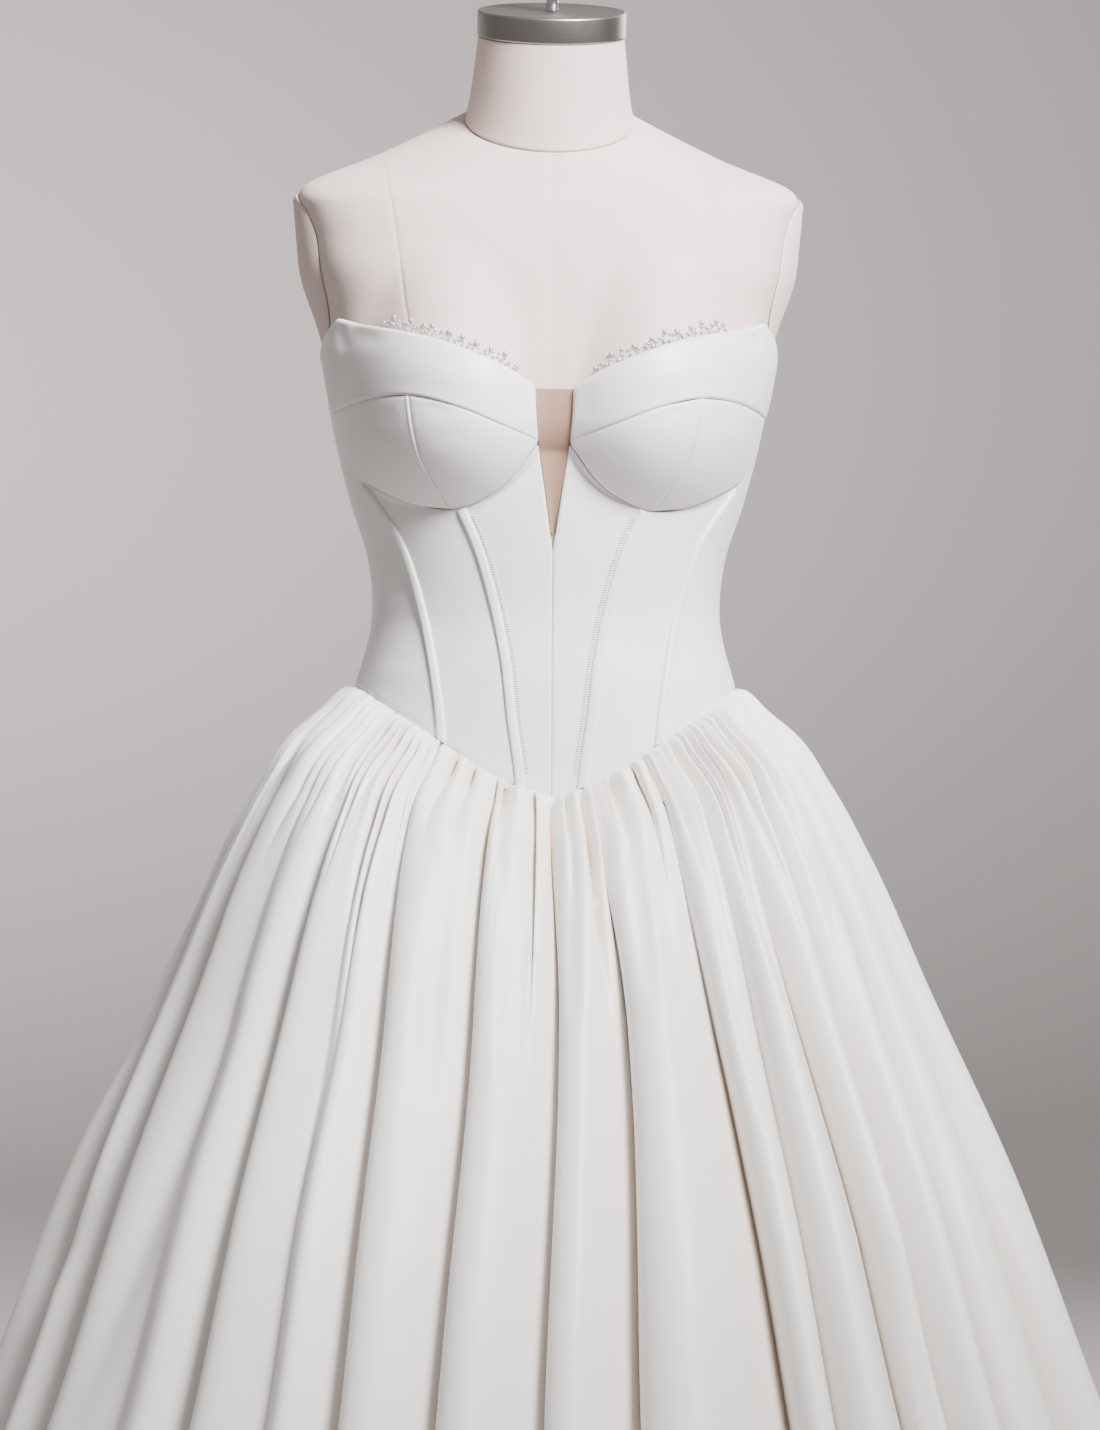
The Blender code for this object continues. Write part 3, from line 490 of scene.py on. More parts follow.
def shell_faces(rows: int, columns: int) -> Array:
    """Quads of a closed wall: the outer grid, the inner grid turned round, and the rim.

    Args:
        rows: rows of each grid.
        columns: columns of each grid.

    Returns:
        Four corners for each quad.
    """
    index = np.arange(rows * columns).reshape(rows, columns)
    quads = np.stack([index[:-1, :-1], index[:-1, 1:], index[1:, 1:], index[1:, :-1]], -1)
    quads = quads.reshape(-1, 4)
    count = rows * columns
    border = np.concatenate([index[0], index[1:, -1], index[-1, -2::-1], index[-2:0:-1, 0]])
    after = np.roll(border, -1)
    rim = np.stack([after, border, border + count, after + count], axis=-1)
    return np.concatenate([quads, quads[:, ::-1] + count, rim])


def cloth_places(points: Array) -> Array:
    """Places on the cloth, in metres: the way walked along each row and each column."""
    return np.stack([lengths(points, 1), lengths(points, 0)], axis=-1)


def ring_faces(rows: int, columns: int) -> Array:
    """Quads of a tube of closed rings.

    Args:
        rows: how many rings there are.
        columns: points in a ring.

    Returns:
        Four corners for each quad.
    """
    index = np.arange(rows * columns).reshape(rows, columns)
    after = np.roll(index, -1, axis=1)
    return np.stack([index[:-1], after[:-1], after[1:], index[1:]], -1).reshape(-1, 4)


def capped_faces(rows: int, columns: int) -> Array:
    """Triangles of a tube of closed rings, and of fans round two last points at its ends.

    Args:
        rows: how many rings there are.
        columns: points in a ring.

    Returns:
        Three corners for each triangle.
    """
    quads = ring_faces(rows, columns)
    index = np.arange(columns)
    after = np.roll(index, -1)
    top = (rows - 1) * columns
    low = np.stack([np.full(columns, rows * columns), after, index], axis=-1)
    high = np.stack([np.full(columns, rows * columns + 1), top + index, top + after], axis=-1)
    return np.concatenate([quads[:, [0, 1, 2]], quads[:, [0, 2, 3]], low, high])


def put_mesh(name: str, points: Array, faces: Array, uv: Array | None = None,
             fold: Array | None = None, smooth: bool = True) -> bpy.types.Object:
    """Put arrays of points and faces into a new object.

    Args:
        name: the piece's name.
        points: vertices, one a row.
        faces: corners of each face, all with the same count.
        uv: a place on the cloth for each vertex, in metres.
        fold: how deep in a fold each vertex lies, from 0 to 1, which sets the satin's painted fold
            shade.
        smooth: whether the faces are shaded smooth.

    Returns:
        The new object, linked to the scene.
    """
    corners = faces.shape[1]
    mesh = bpy.data.meshes.new(name)
    mesh.vertices.add(len(points))
    mesh.vertices.foreach_set("co", np.asarray(points, np.float32).ravel())
    mesh.loops.add(faces.size)
    mesh.loops.foreach_set("vertex_index", faces.astype(np.int32).ravel())
    mesh.polygons.add(len(faces))
    mesh.polygons.foreach_set("loop_start", np.arange(0, faces.size, corners, dtype=np.int32))
    mesh.update(calc_edges=True)
    mesh.polygons.foreach_set("use_smooth", np.full(len(faces), smooth))
    if uv is not None:
        layer = mesh.uv_layers.new(name="UVMap")
        layer.data.foreach_set("uv", np.asarray(uv, np.float32)[faces.ravel()].ravel())
    # The "fold" attribute carries the satin's painted fold shade.
    if fold is not None:
        attribute = mesh.attributes.new("fold", "FLOAT", "POINT")
        attribute.data.foreach_set("value", np.asarray(fold, np.float32).ravel())
    mesh.validate()
    item = bpy.data.objects.new(name, mesh)
    bpy.context.scene.collection.objects.link(item)
    return item


def put_shell(name: str, side: Side, outer: Array, inner: Array, uv: Array,
              fold: Array | None = None) -> bpy.types.Object:
    """Close an outer and an inner grid into one wall, mirrored for the left side.

    Args:
        name: the piece's name.
        side: which half of the dress it is on.
        outer: points of the outer face.
        inner: points of the inner face, the same count.
        uv: a place on the cloth for each outer point.
        fold: how deep in a fold each outer point lies, for the satin's painted fold shade.

    Returns:
        The new object.
    """
    rows, columns = outer.shape[:2]
    points = np.concatenate([outer.reshape(-1, 3), inner.reshape(-1, 3)])
    points = points * side.mirror
    faces = shell_faces(rows, columns)
    if side is Side.LEFT:
        faces = faces[:, ::-1]
    twice = np.concatenate([uv.reshape(-1, 2)] * 2)
    folds = None if fold is None else np.concatenate([fold.ravel()] * 2)
    item = put_mesh(name, points, faces, twice, folds)
    item.data.set_sharp_from_angle(angle=math.radians(60))
    return item


def put_rings(name: str, rings: Array, uv_scale: tuple[float, float]) -> bpy.types.Object:
    """Close a stack of rings into one body, with a fan at each end.

    Args:
        name: the piece's name.
        rings: points, by ring and place round it, from the lowest ring up.
        uv_scale: metres round and along that the UV map spans.

    Returns:
        The new object.
    """
    count, around = rings.shape[:2]
    ends = np.stack([rings[0].mean(axis=0), rings[-1].mean(axis=0)])
    points = np.concatenate([rings.reshape(-1, 3), ends])
    u, v = np.meshgrid(np.abs(np.linspace(-1, 1, around, endpoint=False)) * uv_scale[0],
                       np.linspace(0, uv_scale[1], count))
    uv = np.concatenate([np.stack([u, v], -1).reshape(-1, 2), np.zeros((2, 2))])
    item = put_mesh(name, points, capped_faces(count, around), uv)
    item.data.set_sharp_from_angle(angle=math.radians(50))
    return item


def sphere_pattern(around: int, levels: int) -> tuple[Array, Array]:
    """Points and triangles of a small sphere of radius 1, closed at both poles.

    Args:
        around: points in each level.
        levels: bands from pole to pole.

    Returns:
        The points, and three corners for each triangle.
    """
    lat = np.linspace(-math.pi / 2, math.pi / 2, levels + 1)[1:-1]
    lon = np.linspace(0, TURN, around, endpoint=False)
    lat_grid, lon_grid = np.meshgrid(lat, lon, indexing="ij")
    body = np.stack([np.cos(lat_grid) * np.cos(lon_grid), np.cos(lat_grid) * np.sin(lon_grid),
                     np.sin(lat_grid)], axis=-1).reshape(-1, 3)
    points = np.concatenate([body, [[0, 0, -1.0], [0, 0, 1.0]]])
    return points, capped_faces(levels - 1, around)


def put_copies(name: str, pattern: tuple[Array, Array], places: Array,
               frames: Array) -> bpy.types.Object:
    """Repeat a small shape: each copy is the pattern times its frame, moved to its place.

    Args:
        name: the piece's name.
        pattern: points and faces of one copy.
        places: the middle of each copy.
        frames: three scaled directions for each copy, one a row.

    Returns:
        One object that holds every copy.
    """
    points, faces = pattern
    moved = np.einsum("pk,nkc->npc", points, frames) + places[:, None]
    numbers = faces[None] + (np.arange(len(places)) * len(points))[:, None, None]
    return put_mesh(name, moved.reshape(-1, 3), numbers.reshape(-1, faces.shape[1]))


# Materials

Socket = bpy.types.NodeSocket
Tree = bpy.types.NodeTree
Inputs = dict[str | int, object]
Colour = tuple[float, float, float]


def add_node(tree: Tree, kind: str, inputs: Inputs | None = None,
             **settings: object) -> bpy.types.Node:
    """Add a node, set its fields, and link or set its inputs.

    Args:
        tree: the node tree.
        kind: the node's type name.
        inputs: a socket to link or a value to set, by the input's name or number.
        settings: the node's own fields.

    Returns:
        The new node.
    """
    node = tree.nodes.new(kind)
    for key, value in settings.items():
        setattr(node, key, value)
    for key, value in (inputs or {}).items():
        if isinstance(value, Socket):
            tree.links.new(value, node.inputs[key])
        else:
            node.inputs[key].default_value = value
    return node


def calc(tree: Tree, operation: str, *values: object) -> Socket:
    """One arithmetic node over sockets or numbers."""
    node = add_node(tree, "ShaderNodeMath", dict(enumerate(values)), operation=operation)
    return node.outputs[0]


def shared_group(name: str, inputs: dict[str, float], outputs: tuple[str, ...],
                 fill: Callable[[Tree, bpy.types.NodeInputs], tuple[Socket, ...]]) -> Tree:
    """Find a shader node group, or make it the first time.

    Args:
        name: the group's name.
        inputs: its number inputs besides "Vector", with their usual values.
        outputs: its number outputs.
        fill: adds the nodes between the group's inputs and a socket for each output.

    Returns:
        The group's tree.
    """
    tree = bpy.data.node_groups.get(name)
    if tree:
        return tree
    tree = bpy.data.node_groups.new(name, "ShaderNodeTree")
    tree.interface.new_socket("Vector", in_out="INPUT", socket_type="NodeSocketVector")
    for label, value in inputs.items():
        socket = tree.interface.new_socket(label, in_out="INPUT", socket_type="NodeSocketFloat")
        socket.default_value = value
    for label in outputs:
        tree.interface.new_socket(label, in_out="OUTPUT", socket_type="NodeSocketFloat")
    made = fill(tree, tree.nodes.new("NodeGroupInput").outputs)
    out = tree.nodes.new("NodeGroupOutput")
    for label, socket in zip(outputs, made):
        tree.links.new(socket, out.inputs[label])
    return tree


def fill_weave(tree: Tree, given: bpy.types.NodeInputs) -> tuple[Socket, Socket]:
    """Threads over and under, as the product of a sine along and a sine across.

    Args:
        tree: the group's tree.
        given: its inputs, of which Unevenness sways the threads by a noise.

    Returns:
        The threads' height, and a mask of the holes where both sines are high.
    """
    wander = add_node(tree, "ShaderNodeTexNoise",
                      {"Vector": given["Vector"], "Scale": 90.0, "Detail": 2.0})
    split = add_node(tree, "ShaderNodeSeparateXYZ", {0: given["Vector"]})
    turns = calc(tree, "MULTIPLY", given["Threads"], TURN)
    shift = calc(tree, "MULTIPLY", wander.outputs["Fac"], 6.0)
    sway = calc(tree, "MULTIPLY", shift, given["Unevenness"])
    straight = calc(tree, "MULTIPLY", split.outputs[0], turns)
    along = calc(tree, "SINE", calc(tree, "ADD", straight, sway))
    across = calc(tree, "SINE", calc(tree, "MULTIPLY", split.outputs[1], turns))
    holes = calc(tree, "GREATER_THAN", calc(tree, "MINIMUM", along, across), 0.35)
    return calc(tree, "MULTIPLY", along, across), holes


def fill_blotches(tree: Tree, given: bpy.types.NodeInputs) -> tuple[Socket]:
    """Slow unevenness of dye and handling: broad noise and noise seven times finer, added.

    Args:
        tree: the group's tree.
        given: its inputs.

    Returns:
        The sum, about 0.3 to 0.7.
    """
    finer = calc(tree, "MULTIPLY", given["Scale"], 7.0)
    broad, fine = (
        add_node(tree, "ShaderNodeTexNoise",
                 {"Vector": given["Vector"], "Scale": scale, "Detail": detail}).outputs["Fac"]
        for scale, detail in ((given["Scale"], 3.0), (finer, 4.0)))
    return (calc(tree, "ADD", calc(tree, "MULTIPLY", broad, 0.65),
                 calc(tree, "MULTIPLY", fine, 0.35)),)


def opaque(colour: object) -> object:
    """A colour with full alpha, or a socket as it is."""
    return (*colour, 1.0) if isinstance(colour, tuple) else colour


def dimmed(colour: Colour, share: float) -> Colour:
    """A share of a colour."""
    return tuple(share * part for part in colour)


class Shading:
    """A new material, with the nodes that the finishes share."""

    def __init__(self, name: str, roughness: float) -> None:
        """Start the material.

        Args:
            name: the material's name.
            roughness: the shader's roughness where nothing is linked to it.
        """
        self.material = bpy.data.materials.new(name)
        self.material.use_nodes = True
        self.tree = self.material.node_tree
        self.shader = self.tree.nodes["Principled BSDF"]
        self.fix({"Roughness": roughness})
        self.uv = self.tree.nodes.new("ShaderNodeUVMap").outputs[0]
        self.place = self.tree.nodes.new("ShaderNodeTexCoord").outputs["Object"]

    def fix(self, values: dict[str, float]) -> None:
        """Set constants on the shader's own sockets."""
        for name, value in values.items():
            self.shader.inputs[name].default_value = value

    def link(self, name: str, socket: Socket) -> None:
        """Link a socket to the shader."""
        self.tree.links.new(socket, self.shader.inputs[name])

    def blotch(self, vector: Socket, scale: float) -> Socket:
        """Slow noise of a scale over the piece or its cloth.

        Args:
            vector: places on the piece or the cloth.
            scale: the broad noise's scale.

        Returns:
            The noise, about 0.3 to 0.7.
        """
        tree = shared_group("soft_blotches", {"Scale": 8.0}, ("Value",), fill_blotches)
        return add_node(self.tree, "ShaderNodeGroup", {"Vector": vector, "Scale": scale},
                        node_tree=tree).outputs[0]

    def weave(self, threads: float, unevenness: float) -> bpy.types.NodeOutputs:
        """Height and holes of a weave with so many threads a metre.

        Args:
            threads: threads a metre.
            unevenness: how much they wander.

        Returns:
            The group's outputs, "Height" and "Holes".
        """
        tree = shared_group("thread_weave", {"Threads": 1000.0, "Unevenness": 0.3},
                            ("Height", "Holes"), fill_weave)
        return add_node(self.tree, "ShaderNodeGroup", {
            "Vector": self.uv, "Threads": threads, "Unevenness": unevenness},
            node_tree=tree).outputs

    def varied(self, value: Socket, low: float, high: float) -> Socket:
        """Spread a value of about 0.3 to 0.7 from low to high.

        Args:
            value: the value.
            low: what 0.3 becomes.
            high: what 0.7 becomes.

        Returns:
            The spread value.
        """
        return add_node(self.tree, "ShaderNodeMapRange", {
            "Value": value, "From Min": 0.3, "From Max": 0.7, "To Min": low,
            "To Max": high}).outputs["Result"]

    def between(self, factor: Socket, first: object, second: Colour) -> Socket:
        """A colour between two, by a factor."""
        return add_node(self.tree, "ShaderNodeMix", {
            "Factor": factor, 6: opaque(first), 7: opaque(second)}, data_type="RGBA").outputs[2]

    def bump(self, height: Socket, strength: float, distance: float) -> None:
        """Link a height to the shader's normal."""
        self.link("Normal", add_node(self.tree, "ShaderNodeBump", {
            "Strength": strength, "Distance": distance, "Height": height}).outputs[0])


@dataclass(frozen=True)
class Finish:
    """A finish that builds its material once and shares it between pieces."""

    name: str
    slot: Slot
    colour: Colour
    roughness: float

    def paint(self, work: Shading) -> None:
        """Add the nodes of this kind of finish to a new material."""
        raise NotImplementedError

    def material(self) -> bpy.types.Material:
        """The shared material, built the first time.

        Returns:
            The material of this finish's name.
        """
        found = bpy.data.materials.get(self.name)
        if found:
            return found
        work = Shading(self.name, self.roughness)
        self.paint(work)
        return work.material

    def dress(self, item: bpy.types.Object) -> None:
        """Give a piece this material."""
        item.data.materials.append(self.material())


@dataclass(frozen=True)
class SatinFinish(Finish):
    """Heavy bridal satin: soft sheen, fine threads, and a warm shade painted deep in its folds for
    their shadow and bounced light.
    """

    # Colour of the painted warm shade deep in the folds.
    depth_colour: Colour = (0.82, 0.68, 0.54)
    threads: float = 2300.0
    # How the painted fold shade rises with depth, and its largest share.
    depth_power: float = 2.2
    depth_share: float = 0.85

    def paint(self, work: Shading) -> None:
        """Uneven dye, a painted warm shade in the folds by the "fold" attribute, and threads as
        bumps.

        Args:
            work: the new material.
        """
        blotch = work.blotch(work.place, 7.0)
        # The "fold" attribute mixes in the painted warm shade deep in the folds.
        fold = add_node(work.tree, "ShaderNodeAttribute", attribute_name="fold").outputs["Fac"]
        painted_fold_shade = calc(work.tree, "POWER", fold, self.depth_power)
        cloth = work.between(work.varied(blotch, 0.0, 1.0), self.colour,
                             dimmed(self.colour, 0.955))
        work.link("Base Color", work.between(
            calc(work.tree, "MULTIPLY", painted_fold_shade, self.depth_share), cloth, self.depth_colour))
        work.link("Roughness",
                  work.varied(blotch, self.roughness - 0.04, self.roughness + 0.05))
        work.bump(work.weave(self.threads, 0.5)["Height"], 0.18, 0.00005)
        work.fix({"Sheen Weight": 0.22, "Sheen Roughness": 0.35, "Specular IOR Level": 0.42})


@dataclass(frozen=True)
class NetFinish(Finish):
    """Sheer net: fine threads with see-through holes."""

    threads: float = 900.0
    solid: float = 0.9
    open_alpha: float = 0.6

    def paint(self, work: Shading) -> None:
        """Uneven colour, and threads that are more solid than their holes.

        Args:
            work: the new material.
        """
        weave = work.weave(self.threads, 0.1)
        blotch = work.blotch(work.uv, 30.0)
        work.link("Base Color", work.between(work.varied(blotch, 0.0, 1.0), self.colour,
                                             dimmed(self.colour, 0.92)))
        work.link("Alpha", add_node(work.tree, "ShaderNodeMapRange", {
            "Value": weave["Holes"], "To Min": self.solid,
            "To Max": self.open_alpha}).outputs[0])
        work.bump(weave["Height"], 0.3, 0.0001)


@dataclass(frozen=True)
class LinenFinish(Finish):
    """The form's linen cover: a plain weave, slightly uneven, with faint small marks."""

    shade: Colour = (0.66, 0.585, 0.555)
    threads: float = 1100.0
    mark_colour: Colour = (0.4, 0.33, 0.3)
    mark_strength: float = 0.35

    def paint(self, work: Shading) -> None:
        """Uneven linen, with a mark close to the middle of each of a noise's cells.

        Args:
            work: the new material.
        """
        blotch = work.blotch(work.place, 12.0)
        linen = work.between(work.varied(blotch, 0.0, 0.45), self.colour, self.shade)
        cells = add_node(work.tree, "ShaderNodeTexVoronoi",
                         {"Vector": work.place, "Scale": 32.0})
        near = calc(work.tree, "LESS_THAN", cells.outputs["Distance"], 0.022)
        marks = calc(work.tree, "MULTIPLY", near, self.mark_strength)
        work.link("Base Color", work.between(marks, linen, self.mark_colour))
        work.link("Roughness", work.varied(blotch, 0.82, 0.95))
        work.bump(work.weave(self.threads, 0.9)["Height"], 0.35, 0.0002)
        work.fix({"Sheen Weight": 0.1})


@dataclass(frozen=True)
class MetalFinish(Finish):
    """Bare or painted metal: brush lines round the piece and slight smudges."""

    metallic: float = 1.0
    lines: float = 1400.0
    line_depth: float = 0.00004
    smudge: float = 0.08

    def paint(self, work: Shading) -> None:
        """Brush lines as a noise drawn out round the piece, and smudges in the gloss.

        Args:
            work: the new material.
        """
        stretch = add_node(work.tree, "ShaderNodeMapping",
                           {"Vector": work.uv, "Scale": (6.0, self.lines, 1.0)})
        brush = add_node(work.tree, "ShaderNodeTexNoise", {
            "Vector": stretch.outputs[0], "Scale": 1.0, "Detail": 3.0}).outputs["Fac"]
        work.link("Base Color", work.between(work.varied(brush, 0.0, 1.0), self.colour,
                                             dimmed(self.colour, 0.82)))
        work.link("Roughness", work.varied(work.blotch(work.place, 25.0), self.roughness,
                                           self.roughness + self.smudge))
        work.bump(brush, 0.4, self.line_depth)
        work.fix({"Metallic": self.metallic})


@dataclass(frozen=True)
class PearlFinish(Finish):
    """Pearls and glass beads: a clear coat over a slightly uneven lustre."""

    metallic: float = 0.35
    shade: Colour = (0.52, 0.47, 0.49)

    def paint(self, work: Shading) -> None:
        """Uneven lustre under a clear coat.

        Args:
            work: the new material.
        """
        blotch = work.blotch(work.place, 240.0)
        work.link("Base Color",
                  work.between(work.varied(blotch, 0.0, 1.0), self.colour, self.shade))
        work.link("Roughness", work.varied(blotch, self.roughness, self.roughness + 0.1))
        work.fix({"Metallic": self.metallic, "Coat Weight": 0.8, "Coat Roughness": 0.05})


SATIN = SatinFinish("ivory_satin_cloth", Slot.SATIN, (0.88, 0.872, 0.86), 0.38)
THREAD = SatinFinish("ivory_thread", Slot.SATIN, (0.88, 0.865, 0.84), 0.5)
NUDE_NET = NetFinish("nude_net", Slot.NUDE_MESH, (0.34, 0.215, 0.145), 0.75, 800.0, 0.95, 0.75)
SHEER_NET = NetFinish("sheer_net", Slot.PEARL_NET, (0.8, 0.72, 0.7), 0.6, 700.0, 0.35, 0.05)
PEARL = PearlFinish("small_pearls", Slot.PEARL_NET, (0.74, 0.71, 0.72), 0.14, 0.55,
                    (0.52, 0.48, 0.5))
GLASS_BEAD = PearlFinish("glass_beads", Slot.PEARL_NET, (0.8, 0.78, 0.79), 0.06, 0.5,
                         (0.6, 0.57, 0.59))
LINEN = LinenFinish("form_linen_cover", Slot.LINEN, (0.8, 0.645, 0.59), 0.88)
STEEL = MetalFinish("brushed_steel_cap", Slot.STEEL, (0.34, 0.325, 0.31), 0.34)
CHROME = MetalFinish("polished_chrome", Slot.CHROME, (0.82, 0.82, 0.82), 0.06, 1.0, 200.0,
                     0.000005, 0.05)
PAINT = MetalFinish("stand_paint_coat", Slot.PAINT, (0.7, 0.69, 0.67), 0.42, 0.0, 60.0,
                    0.00002, 0.1)


def settle(item: bpy.types.Object, finish: Finish, *nodes: str) -> None:
    """Dress a piece, ride it on the one body, and let it stand for its solids.

    Args:
        item: the piece.
        finish: its finish.
        nodes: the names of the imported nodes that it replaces.
    """
    finish.dress(item)
    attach(item, BODY)
    if nodes:
        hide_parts(*nodes)
    LOG.info("%s: %d faces, %s", item.name, len(item.data.polygons), finish.name)


@dataclass(frozen=True)
class Cloth:
    """A cloth's thickness, and how its edges turn in at a seam."""

    wall: float = 0.0018
    roll: float = 0.0022
    tuck: float = 0.001
    gap: float = 0.00015


class Cut(NamedTuple):
    """The flat size of a piece: width, length and area."""

    width: float
    length: float
    area: float


@dataclass
class Sheet:
    """A sheet of cloth as built: its faces, and facts stored with them.

    flat holds the points that the UV map is walked along. measured, the points that a flat size
    would be taken from where they aren't the outer face, is not used, and nor is least_width, the
    narrowest cut.
    """

    node: str
    side: Side
    outer: Array
    inner: Array
    flat: Array
    rests_on: tuple[str, ...]
    finish: Finish = SATIN
    name: str = ""
    held: str = "stretched"
    # How deep in a fold each point lies, for the painted fold shade.
    fold: Array | None = None
    measured: Array | None = None
    least_width: float = 0.0

    def put(self) -> None:
        item = put_shell(self.name or self.node + CLOTH, self.side, self.outer, self.inner,
                         cloth_places(self.flat), self.fold)
        settle(item, self.finish, self.node)


def crease_relief(creases: tuple[Crease, ...], x: Array, z: Array) -> Array:
    """Depth of soft troughs at places.

    Across a crease the depth falls as a bell, and along it as a sine to both ends.

    Args:
        creases: the troughs.
        x: signed distance from the centre of each place.
        z: height of each place.

    Returns:
        How far each place sinks.
    """
    total = np.zeros(x.shape)
    for crease in creases:
        start = np.array(crease[:2])
        step = np.array(crease[2:4]) - start
        along = ((x - start[0]) * step[0] + (z - start[1]) * step[1]) / (step @ step)
        near = np.clip(along, 0, 1)
        away = np.hypot(x - start[0] - near * step[0], z - start[1] - near * step[1])
        total += crease.depth * np.sin(math.pi * near) ** 0.7 * np.exp(-(away / crease.width) ** 2)
    return total


@dataclass
class Patch:
    """A bodice piece laid over the figure, on a grid of (angle, height)."""

    name: str
    grid: Array
    lift: Array | float
    cloth: Cloth
    turned_in: tuple[float, float, float, float] = (1.0, 1.0, 1.0, 1.0)
    creases: tuple[Crease, ...] = ()
    ridge: Array | None = None

    def tucked(self, flat: Array) -> Array:
        """How far each place turns in, near the bottom, top, left and right edges.

        Args:
            flat: the piece's points before its edges turn in.

        Returns:
            The largest of the four tucks, each the square of what is left of the roll.
        """
        u, v = lengths(flat, 1), lengths(flat, 0)
        away = (v, v[-1:] - v, u, u[:, -1:] - u)
        parts = [amount * self.cloth.tuck * np.clip(1 - distance / self.cloth.roll, 0, 1) ** 2
                 for amount, distance in zip(self.turned_in, away)]
        return np.max(parts, axis=0)

    def faces(self, side: Side) -> tuple[Array, Array, Array]:
        """Points of one side's piece.

        Args:
            side: which half it is on, since creases differ.

        Returns:
            The outer face, the inner face, and the outer one before its edges turn in.
        """
        angle, height = self.grid[..., 0], self.grid[..., 1]
        flat = FIGURE.at(angle, height, self.lift)
        sunk = self.tucked(flat) + crease_relief(self.creases, side.value * flat[..., 0], height)
        if self.ridge is not None:
            sunk = sunk - self.ridge
        outer, inner = (moved_in(FIGURE.at(angle, height, self.lift - sunk - below),
                                 self.cloth.gap) for below in (0.0, self.cloth.wall))
        return outer, inner, flat

    def make(self, side: Side, *rests_on: str, paired: bool = True) -> None:
        """Build one side's piece.

        Args:
            side: which half it is on.
            rests_on: names of what it lies on; not used.
            paired: whether both halves have one, so that its name says which this is.
        """
        node = self.name + side.label if paired else self.name
        Sheet(node, side, *self.faces(side), rests_on).put()


